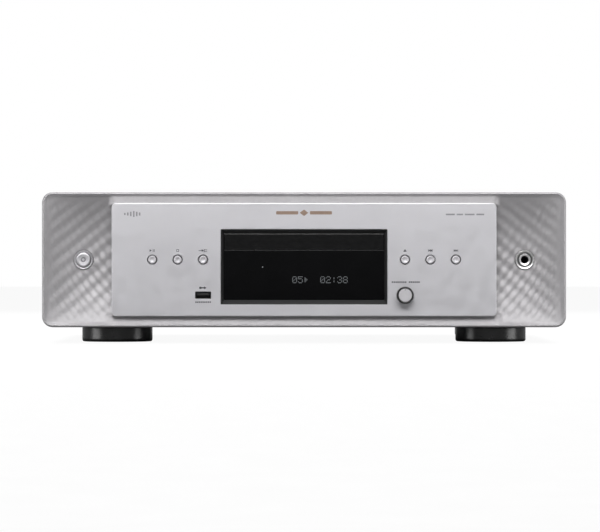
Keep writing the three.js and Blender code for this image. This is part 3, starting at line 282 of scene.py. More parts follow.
# On the rear boards: black chips, dark sleeves above them, bright tops above MAIN_TOPS or POWER_TOPS.
BOARD_TOP = cad("main_board")[1][2] - 20.0  # the main board's tallest pieces stand 20 mm above it
MAIN_TOPS = BOARD_TOP + 19.7
POWER_TOPS = BOARD_TOP + 29.7
BRIGHT = ((0.45, 0.45, 0.46), (0.55, 0.55, 0.56))
PARTS = [
    (BOARD_TOP + 0.15, (0.012, 0.012, 0.012), (0.03, 0.03, 0.03)),
    (BOARD_TOP + 9.1, (0.006, 0.014, 0.06), (0.012, 0.025, 0.1)),
]
MATS = {name: finish_material(name, *row) for name, row in FINISHES.items()}
MATS["circuit_board"] = board_material("circuit_board")
MATS["main_circuit"] = board_material("main_circuit", PARTS + [(MAIN_TOPS, *BRIGHT)])
MATS["power_circuit"] = board_material("power_circuit", PARTS + [(POWER_TOPS, *BRIGHT)])
MATS["winding"] = winding_material()
MATS["digit_glow"] = glow_material("digit_glow", (0.8, 0.86, 0.9), 0.3)


# ---- Mesh building ----


def even_shading(obj):
    weighted = obj.modifiers.new("even_shading", "WEIGHTED_NORMAL")
    weighted.keep_sharp = True


def piece(name, verts, faces, mat, body=CASE, replaces=(), sharp=38.0, merge=0.0, origin=(0, 0, 0)):
    """A closed mesh from points in millimetres, smooth across edges flatter than sharp degrees."""
    mesh = bpy.data.meshes.new(name)
    mesh.from_pydata([tuple(float(c - o) * MM for c, o in zip(v, origin)) for v in verts], [], faces)
    build = bmesh.new()
    build.from_mesh(mesh)
    if merge:
        bmesh.ops.remove_doubles(build, verts=build.verts, dist=merge * MM)
    bmesh.ops.recalc_face_normals(build, faces=build.faces)
    for face in build.faces:
        face.smooth = True
    build.to_mesh(mesh)
    build.free()
    mesh.set_sharp_from_angle(angle=math.radians(sharp))
    mesh.materials.append(MATS[mat])
    obj = bpy.data.objects.new(name, mesh)
    obj.location = [o * MM for o in origin]
    link(obj)
    even_shading(obj)
    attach(obj, body)
    if replaces:
        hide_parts(*replaces)
    return obj


def joined(name, parts, mat, body=CASE, **options):
    """One piece from several (verts, faces) shells."""
    verts, faces = [], []
    for part_verts, part_faces in parts:
        start = len(verts)
        verts.extend(part_verts)
        faces.extend([tuple(i + start for i in face) for face in part_faces])
    return piece(name, verts, faces, mat, body, **options)


def along(axis, u, v, w, centre=(0, 0, 0)):
    """A point from two coordinates across an axis and one along it."""
    point = {"x": (w, u, v), "y": (u, w, v), "z": (u, v, w)}[axis]
    return tuple(c + p for c, p in zip(centre, point))


def soften(profile, radius, steps=4):
    """Rounds the corners of an open profile."""
    points = [Vector(p) for p in profile]
    out = [points[0]]
    for before, corner, after in zip(points, points[1:], points[2:]):
        to_before, to_after = before - corner, after - corner
        reach = min(radius, to_before.length * 0.49, to_after.length * 0.49)
        start = corner + to_before.normalized() * reach
        end = corner + to_after.normalized() * reach
        for k in range(steps + 1):
            t = k / steps
            out.append(start * (1 - t) ** 2 + corner * 2 * t * (1 - t) + end * t * t)
    out.append(points[-1])
    return out


def lathe_shell(profile, centre, axis="y", sides=64, radius=0.15, steps=4, ripple=None):
    """A turned shell from (radius, place) points that start and end on the axis or close on themselves."""
    ring = Vector(profile[0]) == Vector(profile[-1])
    points = soften(profile, radius, steps)
    if ring:
        points = points[1:-1] + [points[0]] if radius == 0 else points[:-1]
    verts, rings = [], []
    for r, h in points:
        if r < 1e-6:
            rings.append([len(verts)] * sides)
            verts.append(along(axis, 0, 0, h, centre))
            continue
        rings.append(list(range(len(verts), len(verts) + sides)))
        for k in range(sides):
            a = TAU * k / sides
            reach = r + (ripple(a, r, h) if ripple else 0.0)
            verts.append(along(axis, reach * math.cos(a), reach * math.sin(a), h, centre))
    faces = []
    pairs = list(zip(rings, rings[1:] + rings[:1])) if ring else list(zip(rings, rings[1:]))
    for low, high in pairs:
        for k in range(sides):
            quad = [low[k], low[(k + 1) % sides], high[(k + 1) % sides], high[k]]
            face = [v for i, v in enumerate(quad) if v not in quad[:i]]
            if len(face) > 2:
                faces.append(tuple(face))
    return verts, faces


def circle(x, z, r, sides=48):
    turns = [TAU * k / sides for k in range(sides)]
    return [(x + r * math.cos(turn), z + r * math.sin(turn)) for turn in turns]


def rounded(x0, x1, z0, z1, r, steps=6):
    corners = [(x1 - r, z0 + r, -90), (x1 - r, z1 - r, 0), (x0 + r, z1 - r, 90), (x0 + r, z0 + r, 180)]
    out = []
    for cx, cz, start in corners:
        for k in range(steps + 1):
            a = math.radians(start + 90 * k / steps)
            out.append((cx + r * math.cos(a), cz + r * math.sin(a)))
    return out


def signed_area(loop):
    return sum(a[0] * b[1] - b[0] * a[1] for a, b in zip(loop, loop[1:] + loop[:1])) / 2


def offset_loop(loop, distance):
    """Moves a loop's points to their left by distance, mitred."""
    out = []
    for before, here, after in zip(loop[-1:] + loop[:-1], loop, loop[1:] + loop[:1]):
        e1 = Vector((here[0] - before[0], here[1] - before[1])).normalized()
        e2 = Vector((after[0] - here[0], after[1] - here[1])).normalized()
        n1, n2 = Vector((-e1.y, e1.x)), Vector((-e2.y, e2.x))
        bisector = (n1 + n2).normalized()
        reach = distance / max(0.4, bisector.dot(n1))
        out.append((here[0] + bisector.x * reach, here[1] + bisector.y * reach))
    return out


def plate_shell(loops, low, high, axis="y", steps=3):
    """A flat plate with holes.

    loops holds (points, edge radius at low, edge radius at high); the first is the outside.
    """
    verts, faces, caps = [], [], ([], [])
    for index, (loop, round_low, round_high) in enumerate(loops):
        loop = list(loop)
        if (signed_area(loop) > 0) != (index == 0):
            loop.reverse()
        rings = []
        for radius, level, into in ((round_low, low, 1), (round_high, high, -1)):
            levels = []
            for k in range(steps + 1 if radius else 1):
                t = math.pi / 2 * k / steps
                levels.append((radius * (1 - math.sin(t)), level + into * radius * (1 - math.cos(t))))
            rings.extend(levels[::into])
        made = []
        for inset, level in rings:
            points = offset_loop(loop, inset) if inset > 1e-6 else loop
            made.append(list(range(len(verts), len(verts) + len(points))))
            verts.extend(along(axis, p[0], p[1], level) for p in points)
        count = len(loop)
        for a, b in zip(made, made[1:]):
            faces.extend((a[k], a[(k + 1) % count], b[(k + 1) % count], b[k]) for k in range(count))
        caps[0].append(made[0])
        caps[1].append(made[-1])
    for cap in caps:
        flat = [i for ring in cap for i in ring]
        shape = [[Vector(verts[i]) for i in ring] for ring in cap]
        faces.extend(tuple(flat[i] for i in triangle) for triangle in tessellate_polygon(shape))
    return verts, faces


def loft_shell(rings, closed=True):
    """Skins rings of equal count. closed joins the last ring to the first, else both ends are capped."""
    count = len(rings[0])
    verts = [v for ring in rings for v in ring]
    faces = []
    pairs = list(range(len(rings) - 1)) + ([len(rings) - 1] if closed else [])
    for i in pairs:
        j = (i + 1) % len(rings)
        for k in range(count):
            n = (k + 1) % count
            faces.append((i * count + k, i * count + n, j * count + n, j * count + k))
    if not closed:
        faces.append(tuple(range(count - 1, -1, -1)))
        faces.append(tuple(range((len(rings) - 1) * count, len(rings) * count)))
    return verts, faces


def box_shell(low, high, radius=0.3, steps=2):
    """A box with rounded edges."""
    radius = min(radius, 0.45 * min(h - l for l, h in zip(low, high)))
    outline = rounded(low[0], high[0], low[1], high[1], radius, steps)
    return plate_shell([(outline, radius, radius)], low[2], high[2], "z", steps)


def smoothstep(low, high, value):
    t = np.clip((value - low) / (high - low), 0, 1)
    return t * t * (3 - 2 * t)


# ---- Surround: dished face with two crossed sets of ridges on its wings ----

SURROUND_CORNER = 9.0
SURROUND_FILLET = 1.7
DISH_DEPTH = 10.0
RELIEF = 0.17  # height of the main ridges
wing_x = abs(middle("power_collar")[0])
wing_z = middle("power_collar")[2]


def edge_distance(x, z):
    """How far a point of the front lies inside the surround's outline."""
    qx = np.abs(x) - (HALF_WIDTH - SURROUND_CORNER)
    qz = np.abs(z - MID_Z) - (HALF_HEIGHT - SURROUND_CORNER)
    outside = np.hypot(np.maximum(qx, 0), np.maximum(qz, 0))
    return SURROUND_CORNER - outside - np.minimum(np.maximum(qx, qz), 0)


def dish(x, z):
    """How far the face is hollowed: nothing at the outer edge, deepest beside the panel."""
    inward = np.clip((HALF_WIDTH - np.abs(x)) / (HALF_WIDTH - PANEL_HALF), 0, 1)
    upward = np.clip(np.abs(z - MID_Z) / HALF_HEIGHT, 0, 1)
    return DISH_DEPTH * (1 - (1 - inward) ** 3) * (1 - upward**2.4)


def relief(x, z):
    """Height of the ridges. across and up are measured from the wing's control and the middle height."""
    across = np.abs(x) - wing_x
    up = z - MID_Z
    main = np.cos(TAU * (-0.067 * across - 0.0805 * up - 0.00012 * up**2 - 0.00008 * across * up))
    crossing = np.cos(TAU * (-0.2 - 0.143 * across - 0.0009 * across**2 + 0.09 * up - 0.00025 * up**2))
    inner = smoothstep(22, -18, across)
    lower = smoothstep(30, -10, up)
    bottom = smoothstep(28, -42, up)
    main *= 0.7 + 0.24 * bottom + 0.38 * inner * (0.35 + 0.65 * lower)
    crossing *= (0.6 + 0.82 * bottom) * (1 + 0.42 * smoothstep(0, 20, across))
    inside = edge_distance(x, z)
    band = smoothstep(3, 15, HALF_HEIGHT - np.abs(up))
    side = smoothstep(3, 12, HALF_WIDTH - np.abs(x)) * smoothstep(152, 158, np.abs(x))
    return RELIEF * (main + crossing) * band * side * smoothstep(2, 8, inside)


def surround_face(x, z):
    """Where the face lies along Y."""
    inside = edge_distance(x, z)
    bend = np.clip(SURROUND_FILLET - inside, 0, SURROUND_FILLET)
    fillet = SURROUND_FILLET - np.sqrt(np.maximum(SURROUND_FILLET**2 - bend**2, 0))
    step = 0.45 * smoothstep(SURROUND_FILLET, SURROUND_FILLET + 0.5, inside)
    hollow = dish(x, z) * smoothstep(1.5, 4.5, inside)
    blend = np.where(z > MID_Z, 3.5, 7.0)
    middle_part = smoothstep(PANEL_HALF + blend, PANEL_HALF - 1.0, np.abs(x))
    above = 0.3 + 0.06 * (z - panel_high[2]) + 14.0 * smoothstep(panel_high[2] - 1, panel_high[2] - 7, z)
    rise = np.clip((z - CASE_LOW - 2.0) / (panel_low[2] - CASE_LOW - 2.0), 0, 1)
    below = 1.7 * rise + 14.0 * smoothstep(panel_low[2] + 1, panel_low[2] + 7, z)
    shallow = np.minimum(np.where(z > MID_Z, above, below), hollow)
    hollow = hollow + (shallow - hollow) * middle_part
    return RIM + fillet + step + hollow - relief(x, z)


def surround_grid(opening_x, opening_z):
    """Columns and rows of the face's mesh, closest at its rim, and pulled in at its round corners."""
    fine = list(np.arange(0, 2.6, 0.28))
    rim = 2.8
    wing = list(np.linspace(rim, HALF_WIDTH - opening_x, 88))
    right = [HALF_WIDTH - d for d in fine + wing]
    across = list(np.linspace(-opening_x, opening_x, 26)[1:-1])
    columns = np.array(sorted([-x for x in right] + right + across))
    lower = [CASE_LOW + d for d in fine] + list(np.linspace(CASE_LOW + rim, opening_z[0], 20))
    upper = [CASE_HIGH - d for d in fine] + list(np.linspace(CASE_HIGH - rim, opening_z[1], 20))
    rows = np.array(sorted(lower + upper + list(np.linspace(opening_z[0], opening_z[1], 102)[1:-1])))
    depth = np.minimum(rows - CASE_LOW, CASE_HIGH - rows)
    bend = np.clip(SURROUND_CORNER - depth, 0, SURROUND_CORNER)
    limit = HALF_WIDTH - SURROUND_CORNER + np.sqrt(SURROUND_CORNER**2 - bend**2)
    start = HALF_WIDTH - 2.2 * SURROUND_CORNER
    x, z = np.meshgrid(columns, rows)
    stretch = ((limit - start) / (HALF_WIDTH - start))[:, None]
    return np.where(np.abs(x) > start, np.sign(x) * (start + (np.abs(x) - start) * stretch), x), z


def build_surround():
    opening_x = PANEL_HALF - 8
    opening_z = (panel_low[2] + 8, panel_high[2] - 8)
    x, z = surround_grid(opening_x, opening_z)
    verts = np.stack([x, surround_face(x, z), z], -1).reshape(-1, 3)
    height, count = x.shape
    hole = half_width("power_collar") - 1.55
    faces = []
    for i in range(height - 1):
        for j in range(count - 1):
            here, over = i * count + j, (i + 1) * count + j
            centre = verts[[here, over + 1]].mean(0)
            in_opening = abs(centre[0]) < opening_x and opening_z[0] < centre[2] < opening_z[1]
            in_hole = math.hypot(abs(centre[0]) - wing_x, centre[2] - wing_z) < hole
            if not (in_opening or in_hole):
                faces.append((here, here + 1, over + 1, over))
    mesh = bpy.data.meshes.new("surround")
    mesh.from_pydata([(a * MM, b * MM, c * MM) for a, b, c in verts], [], faces)
    build = bmesh.new()
    build.from_mesh(mesh)
    bmesh.ops.delete(build, geom=[v for v in build.verts if not v.link_faces], context="VERTS")
    outer = []  # edges along the rim; boundary points near the two holes are moved onto a circle
    for edge in [e for e in build.edges if e.is_boundary]:
        place = (edge.verts[0].co + edge.verts[1].co) / 2 / MM
        if edge_distance(place.x, place.z) < 0.6:
            outer.append(edge)
            continue
        for vert in edge.verts:
            dx, dz = abs(vert.co.x / MM) - wing_x, vert.co.z / MM - wing_z
            reach = math.hypot(dx, dz)
            if reach < hole + 2:
                vert.co.x = math.copysign((wing_x + dx / reach * hole) * MM, vert.co.x)
                vert.co.z = (wing_z + dz / reach * hole) * MM
    back = bmesh.ops.extrude_edge_only(build, edges=outer)["geom"]
    for vert in back:
        if isinstance(vert, bmesh.types.BMVert):
            vert.co.y = surround_high[1] * MM
    bmesh.ops.recalc_face_normals(build, faces=build.faces)
    if sum(f.normal.y * f.calc_area() for f in build.faces) > 0:
        bmesh.ops.reverse_faces(build, faces=build.faces)
    for face in build.faces:
        face.smooth = True
    build.to_mesh(mesh)
    build.free()
    mesh.materials.append(MATS["silver_paint"])
    obj = bpy.data.objects.new("surround", mesh)
    link(obj)
    shell = obj.modifiers.new("thickness", "SOLIDIFY")
    shell.thickness = 2.4 * MM
    shell.offset = -1
    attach(obj, CASE)
    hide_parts("front_surround")


build_surround()


# ---- Centre panel, its marks and the window ----

KEY_RADIUS = 3.8
KEY_HOLE = KEY_RADIUS + 0.45
key_places = {name: middle(name) for name in KEY_NAMES}
knob_x, _, knob_z = middle("level_knob")
usb_low, usb_high = cad("usb_socket")
usb_x, usb_z = (usb_low[0] + usb_high[0]) / 2, (usb_low[2] + usb_high[2]) / 2


def grown(low, high, grow, r, steps):
    """Outline of a box's front, grown on all sides."""
    return rounded(low[0] - grow, high[0] + grow, low[2] - grow, high[2] + grow, r, steps)


def build_panel():
    loops = [(grown(panel_low, panel_high, 0, 3.4, 10), 0.65, 0.4)]
    loops.append((grown(window_low, window_high, 0.15, 0.7, 4), 0.22, 0))
    loops.extend((circle(p[0], p[2], KEY_HOLE), 0.25, 0) for p in key_places.values())
    loops.append((circle(knob_x, knob_z, 4.6), 0.25, 0))
    loops.append((grown(usb_low, usb_high, 0.2, 0.5, 3), 0.2, 0))
    verts, faces = plate_shell(loops, panel_low[1], panel_high[1], "y", 4)
    piece("panel", verts, faces, "panel_silver", replaces=["centre_panel"])


def flat_mark(loops):
    """A shell of ink 0.03 mm proud of the panel."""
    return plate_shell([(loop, 0, 0) for loop in loops], FRONT - 0.03, FRONT + 0.02, "y")


def bar(x, z, width, height):
    return rounded(x - width / 2, x + width / 2, z - height / 2, z + height / 2, min(width, height) * 0.2, 2)


def triangle(x, z, size, direction):
    """An arrowhead pointing along X (1 or -1) or up (0)."""
    if direction == 0:
        return [(x - size * 0.62, z - size * 0.45), (x + size * 0.62, z - size * 0.45), (x, z + size * 0.55)]
    tail, tip = x - direction * size * 0.45, x + direction * size * 0.45
    return [(tail, z - size / 2), (tip, z), (tail, z + size / 2)]


# Symbols over the keys: shape, place across and up, then its own two sizes.
ICON = 2.2
ICON_RISE = 7.7
ICONS = {
    "play_button": [(triangle, -1.3, 0, ICON, 1), (bar, 0.7, 0, 0.5, ICON), (bar, 1.7, 0, 0.5, ICON)],
    "stop_button": [(bar, 0, 0, ICON, ICON), (bar, 0, 0, ICON - 0.9, ICON - 0.9)],
    "input_button": [
        (bar, -2.2, 0, 3.2, 0.45), (triangle, -0.2, 0, ICON, 1), (bar, 1.0, 0, 0.45, ICON),
        (bar, 2.3, 0.65, 2.2, 0.4), (bar, 2.3, -0.65, 2.2, 0.4),
    ],
    "eject_button": [(triangle, 0, 0.3, ICON * 0.9, 0), (bar, 0, -0.85, ICON * 1.15, 0.42)],
    "back_button": [
        (bar, -1.7, 0, 0.42, ICON), (triangle, -0.75, 0, ICON, -1), (triangle, 0.75, 0, ICON, -1),
    ],
    "skip_button": [(triangle, -0.75, 0, ICON, 1), (triangle, 0.75, 0, ICON, 1), (bar, 1.7, 0, 0.42, ICON)],
}


def build_marks():
    groups = []
    for name, place in key_places.items():
        shapes = [draw(place[0] + x, place[2] + ICON_RISE + z, a, b) for draw, x, z, a, b in ICONS[name]]
        groups += [shapes] if name == "stop_button" else [[shape] for shape in shapes]
    top, low = usb_z + 6.2, usb_z - 5.8
    bars = [bar(usb_x - 0.6, top, 3.6, 1.0), triangle(usb_x + 1.9, top, 2.5, 1)]
    bars.append(bar(usb_x - 2.3, top, 1.9, 1.9))
    bars += [bar(usb_x - 6.0 + n * 1.5, low, 1.1, 1.15) for n in range(9)]
    bars += [bar(knob_x - 10.6 + n * 1.6, knob_z + 11.0, 1.2, 1.3) for n in range(15) if n != 8]
    groups += [[shape] for shape in bars]
    joined("key_marks", [flat_mark(group) for group in groups], "ink")

    mark_z = panel_high[2] - 8.2
    diamond = [(-3.7, mark_z), (0, mark_z - 2.7), (3.7, mark_z), (0, mark_z + 2.7)]
    copper = [bar(-14.2, mark_z, 18.6, 2.8), bar(14.2, mark_z, 18.6, 2.8), diamond]
    joined("copper_mark", [flat_mark([shape]) for shape in copper], "copper_mark")
    heights = (1.8, 2.6, 3.8, 5.0, 3.8, 2.6)
    grey = [bar(-150.9 + n * 2.5, mark_z - 1.0, 1.3, tall) for n, tall in enumerate(heights)]
    lengths = (7.6, 5.4, 8.2, 6.6)
    for n, length in enumerate(lengths):
        left = 119.4 + sum(lengths[:n]) + n * 1.5
        grey.append(bar(left + length / 2, mark_z - 1.4, length, 1.3))
    joined("corner_marks", [flat_mark([shape]) for shape in grey], "ink_light")


def rectangle_ring(x0, x1, z0, z1, y, r):
    return [(p[0], y, p[1]) for p in rounded(x0, x1, z0, z1, r, 3)]


def build_window():
    x1, z0, z1 = window_high[0], window_low[2], window_high[2]
    gx = glass_high[0] + 0.2
    gz0, gz1 = glass_low[2] - 0.2, door_high[2] + 0.4
    back = window_high[1]
    deep = glass_low[1]

    def ring(inset, y, r):
        return rectangle_ring(-x1 + inset, x1 - inset, z0 + inset, z1 - inset, y, r)

    def inner(y, grow=0.0):
        return rectangle_ring(-gx - grow, gx + grow, gz0 - grow, gz1 + grow, y, 0.3)

    rings = [
        ring(0, back, 0.6), ring(0, FRONT + 0.15, 0.6), ring(0.05, FRONT + 0.04, 0.6),
        ring(0.15, FRONT, 0.55), ring(0.4, FRONT, 0.5), ring(0.5, FRONT + 0.03, 0.45),
        ring(0.6, FRONT + 0.12, 0.45),
        inner(deep - 0.2, 0.08), inner(deep - 0.05, 0.0), inner(deep + 0.5), inner(back),
    ]
    verts, faces = loft_shell(rings)
    piece("window_bezel", verts, faces, "gloss_black", replaces=["window_frame"], sharp=30)

    chamfered("display_glass", glass_low, glass_high, 0.12, "smoked_glass", CASE, "display_window")
    chamfered("drawer_door", door_low, door_high, 0.62, "door_black", "drawer", "tray_door")


def chamfered(name, low, high, width, mat, body, node):
    """A plate whose front edges fall away at about 16 degrees."""
    def ring(inset, y, r):
        return rectangle_ring(low[0] + inset, high[0] - inset, low[2] + inset, high[2] - inset, y, r)

    drop = width * 0.29
    verts, faces = loft_shell([
        ring(0.25, high[1], 0.4), ring(0, high[1] - 0.25, 0.6), ring(0, low[1] + drop + 0.15, 0.6),
        ring(0.04, low[1] + drop + 0.04, 0.58), ring(0.15, low[1] + drop, 0.5), ring(width, low[1], 0.3),
        ring(width + 0.3, low[1], 0.3),
    ], closed=False)
    piece(name, verts, faces, mat, body, [node], sharp=12)


DOT_ROWS = {
    "0": "01110 10001 10011 10101 11001 10001 01110",
    "2": "01110 10001 00001 00110 01000 10000 11111",
    "3": "01110 10001 00001 00110 00001 10001 01110",
    "5": "11111 10000 11110 00001 00001 10001 01110",
    "8": "01110 10001 10001 01110 10001 10001 01110",
    ":": "00000 00100 00100 00000 00100 00100 00000",
    ">": "00000 01000 01100 01110 01100 01000 00000",
}
DOT_PITCH = 0.84
DOT_HALF = 0.26
CHAR_PITCH = 4.78
TEXT_TOP = 56.0
TEXTS = (("05>", -10.0), ("02:38", 13.6))  # each with its left edge


def build_digits():
    front = glass_low[1]
    dots = []
    for text, left in TEXTS:
        for index, char in enumerate(text):
            for row, bits in enumerate(DOT_ROWS[char].split()):
                for column, bit in enumerate(bits):
                    if bit == "1":
                        x = left + index * CHAR_PITCH + (column + 0.5) * DOT_PITCH
                        z = TEXT_TOP - (row + 0.5) * DOT_PITCH
                        dots.append(rounded(x - DOT_HALF, x + DOT_HALF, z - DOT_HALF, z + DOT_HALF, 0.1, 1))
    dots.append(circle(-35.0, 63.8, 0.5, 12))
    shells = [plate_shell([(dot, 0, 0)], front - 0.02, front + 0.02) for dot in dots]
    joined("display_digits", shells, "digit_glow")


build_panel()
build_marks()
build_window()
build_digits()


# ---- Keys, knob and the sockets on the front ----


def lathe(name, profile, centre, mat, body=CASE, axis="y", replaces=(), sharp=38.0, **options):
    verts, faces = lathe_shell(profile, centre, axis, **options)
    return piece(name, verts, faces, mat, body, replaces, sharp, origin=centre)


def deeper(start, points):
    """A profile whose places count from start."""
    return [(r, start + place) for r, place in points]


def build_keys():
    cap = KEY_RADIUS - 0.35
    for name, place in key_places.items():
        front, back = depth(name)
        flange = half_width(name)
        seat = front + 9.0 if back - front > 11 else back - 3  # front of the flange behind the panel
        dimple = [(0, 0.3), (0.9, 0.24), (1.7, 0.1), (cap - 0.9, 0), (cap - 0.4, 0.03), (cap, 0.5)]
        profile = deeper(front, dimple) + [
            (cap, seat), (flange, seat), (flange, seat + 1), (1.5, seat + 1), (1.5, back), (0, back)
        ]
        body = name.replace("_button", "_key")
        centre = (place[0], 0, place[2])
        lathe(name + "_cap", profile, centre, "key_silver", body, replaces=[name], radius=0.2)


def build_knob():
    front, back = depth("level_knob")
    centre = (knob_x, 0, knob_z)
    radius = half_width("level_knob")

    def ripple(angle, r, h):
        fluted = r > radius - 0.2 and front + 1.2 < h < back - 0.8
        return -0.16 * (0.5 + 0.5 * math.cos(angle * 60)) if fluted else 0.0

    bore = 3.15
    well = radius - 1.68  # the silver face sits in this
    rim = [(0, 0.5), (radius - 1.62, 0.5), (radius - 1.55, 0.14), (radius - 0.55, 0)]
    rim += [(radius, 0.7), (radius, 1.4), (radius, 3.5)]
    side = deeper(front, rim)
    side += [(radius, back - 1.2), (radius, back), (bore, back), (bore, front + 3), (0, front + 3)]
    lathe("level_knob_body", side, centre, "gloss_black", "level", replaces=["level_knob"], sides=240,
          radius=0.25, ripple=ripple, sharp=30)
    face = deeper(front, [(0, 0.06), (radius - 1.9, 0.04), (well, 0.2), (well, 0.55), (0, 0.55)])
    lathe("level_knob_face", face, centre, "key_silver", "level", radius=0.12)
    dot = deeper(front, [(0, -0.03), (0.35, -0.03), (0.35, 0.1), (0, 0.1)])
    shell = lathe_shell(dot, (knob_x, 0, knob_z + radius - 2.6), "y", 16, 0.02)
    joined("level_knob_dot", [shell], "ink", "level")


def rect_tube(x, z, width, height, wall, front, back, r):
    """A tube of rounded-rectangle section along Y."""
    def ring(grow, y):
        half_x, half_z = width / 2 + grow, height / 2 + grow
        return rectangle_ring(x - half_x, x + half_x, z - half_z, z + half_z, y, max(0.05, r + grow))

    return loft_shell([
        ring(0, back), ring(0, front + 0.1), ring(-0.08, front),
        ring(-wall + 0.08, front), ring(-wall, front + 0.1), ring(-wall, back),
    ])


def build_usb():
    front, back = usb_low[1], usb_high[1]
    width, height = usb_high[0] - usb_low[0], usb_high[2] - usb_low[2]
    end_low = (usb_low[0] + 0.3, back - 2, usb_low[2] + 0.3)
    end = box_shell(end_low, (usb_high[0] - 0.3, back, usb_high[2] - 0.3), 0.1)
    tube = rect_tube(usb_x, usb_z, width, height, 0.35, front, back, 0.6)
    # The shell is dark nickel so that the socket reads dark inside: painted shade.
    joined("usb_shell", [tube, end], "dark_nickel", replaces=["usb_socket"])
    tongue = box_shell((usb_x - 5.4, front + 1.5, usb_z), (usb_x + 5.4, back - 1.5, usb_z + 1.8), 0.2)
    joined("usb_tongue", [tongue], "matte_black")
    pins = []
    for d in (-3.5, -1.0, 1.0, 3.5):
        pin_low = (usb_x + d - 0.55, front + 2.1, usb_z - 0.06)
        pins.append(box_shell(pin_low, (usb_x + d + 0.55, back - 3, usb_z + 0.1), 0.03, 1))
    joined("usb_pins", pins, "gold")
    # A thin near-black sleeve lining the shell's inside: painted shade.
    painted_shade_sleeve = rect_tube(usb_x, usb_z, width - 0.72, height - 0.72, 0.04, front + 0.6, back - 2, 0.4)
    joined("usb_painted_shade_sleeve", [painted_shade_sleeve], "painted_shade_black")


def build_wing_controls():
    left, right = (-wing_x, 0, wing_z), (wing_x, 0, wing_z)
    radius = half_width("power_collar") - 1.8
    front, back = depth("power_collar")
    bore = radius - 1.5
    flange = back - 1.5
    ring = deeper(front, [(bore, 1.2), (bore + 0.3, 0.3), (radius - 0.15, 0), (radius, 0.1)])
    ring += [(radius, flange), (radius + 1.8, flange), (radius + 1.8, back), (bore, back), ring[0]]
    lathe("power_ring", ring, left, "key_silver", replaces=["power_collar"], radius=0.06, sides=72)
    lathe("socket_ring", ring, right, "bright_nickel", replaces=["headphone_ring"], radius=0.06, sides=72)

    front, back = depth("power_button")
    flange = half_width("power_button")
    outer = flange - 1.5
    cap = deeper(front, [
        (0, 0.7), (0.95, 0.65), (1.1, 1.3), (2.0, 1.3), (2.2, 0.6), (4.5, 0.4), (4.65, 0),
        (outer - 0.1, 0.4), (outer, 0.6),
    ])
    cap += [(outer, back - 4), (flange, back - 4), (flange, back - 2.5)]
    cap += [(2, back - 2.5), (2, back), (0, back)]
    lathe("power_cap", cap, left, "key_silver", "power_key", replaces=["power_button"], radius=0.12, sides=72)
    inlay = deeper(front, [(1.1, 1.16), (2.0, 1.16), (2.0, 1.34), (1.1, 1.34), (1.1, 1.16)])
    lathe("power_cap_ring", inlay, left, "ink_light", "power_key", radius=0.04)

    front, back = depth("headphone_jack")
    half = half_width("headphone_jack")
    nose = deeper(front, [(3.25, 0.65), (3.4, 0.42), (4.7, 0), (5.0, 0.25)])
    nose += [(5.0, back - 22), (half, back - 22), (half, back), (3.25, back - 3), (3.25, front + 0.65)]
    lathe("socket_nose", nose, right, "bright_nickel", replaces=["headphone_jack"], radius=0.1, sides=64)
    start, end = front + 0.8, back - 3.2
    # A thin near-black sleeve inside the bore: painted shade.
    painted_shade_sleeve = [(3.24, start), (3.24, end), (2.9, end), (2.9, front + 1.1), (3.24, start)]
    lathe("socket_painted_shade_sleeve", painted_shade_sleeve, right, "painted_shade_black", radius=0.03, sides=48)
    # A near-black disc closing the bore's far end: painted shade.
    painted_shade_disc = [(0, back - 5), (2.9, back - 5), (2.9, back - 4), (0, back - 4)]
    lathe("socket_painted_shade_disc", painted_shade_disc, right, "painted_shade_black", radius=0.05, sides=32)
    # A near-black ring inside the case, behind the socket ring at the collar's flange, that fills the gap
    # into the case: painted shade. Its radii come from the ring's bore and the power button's cap.
    wide, narrow = bore - 0.05, outer - 0.9
    ring = [(wide, flange), (wide, flange + 1), (narrow, flange + 1), (narrow, flange), (wide, flange)]
    lathe("socket_painted_shade_ring", ring, right, "painted_shade_black", radius=0.04, sides=48)


build_keys()
build_knob()
build_usb()
build_wing_controls()


# ---- Feet ----


def build_feet():
    for node in FEET:
        radius, top = half_width(node), cad(node)[1][2]
        centre = (*middle(node)[:2], 0)
        profile = [
            (0, 1.5), (radius - 9.2, 1.5), (radius - 9.2, 0), (radius - 1.2, 0), (radius - 0.2, 0.9),
            (radius, 2.2), (radius, top - 2.4), (radius - 0.7, top - 2.0), (radius - 0.7, top), (0, top),
        ]
        name = node + "_turned"
        lathe(name, profile, centre, "foot_black", axis="z", replaces=[node], radius=0.5, sides=96)
        inner, outer = radius - 8.4, radius - 2.4
        pad = [(inner, 0.05), (inner, 0.02), (outer, 0.02), (outer, 0.3), (inner, 0.3), (inner, 0.05)]
        lathe(node + "_pad", pad, centre, "rubber", axis="z", radius=0.02, sides=72)


build_feet()


# ---- Rear, sides and underside: screws, coloured rings, blades and printed frames ----

rear_low, rear_high = cad("rear_panel")
cover_low, cover_high = cad("top_cover")
pan_low, pan_high = cad("base_pan")
REAR = rear_high[1]
WASHER_RADIUS = 4.15 + 2.2
JACKS = {
    "output_jack_right": "red_plastic", "output_jack_left": "white_plastic", "coaxial_jack": "orange_plastic",
    "remote_jack": "matte_black",
}


def cross(u, v, size, width):
    """Outline of a cross recess."""
    a, b = size / 2, width / 2
    quarter = [(a, -b), (a, b), (b, b)]
    out = []
    for turn in range(4):
        c, s = round(math.cos(turn * math.pi / 2)), round(math.sin(turn * math.pi / 2))
        out.extend((u + x * c - y * s, v + x * s + y * c) for x, y in quarter)
    return out


def screw(u, v, face, side, axis, radius=2.9, height=1.5):
    """A pan head with a cross recess, standing on a face that looks along side (1 or -1) of an axis."""
    low, high = sorted((face - side * 0.05, face + side * height))
    rounding = (0.05, height * 0.55) if side > 0 else (height * 0.55, 0.05)
    head = [(circle(u, v, radius, 36), *rounding), (cross(u, v, radius * 1.15, radius * 0.26), 0, 0)]
    floor_low, floor_high = sorted((face, face + side * height * 0.35))
    return [
        plate_shell(head, low, high, axis, 4),
        plate_shell([(circle(u, v, radius * 0.66, 24), 0, 0)], floor_low, floor_high, axis),
    ]


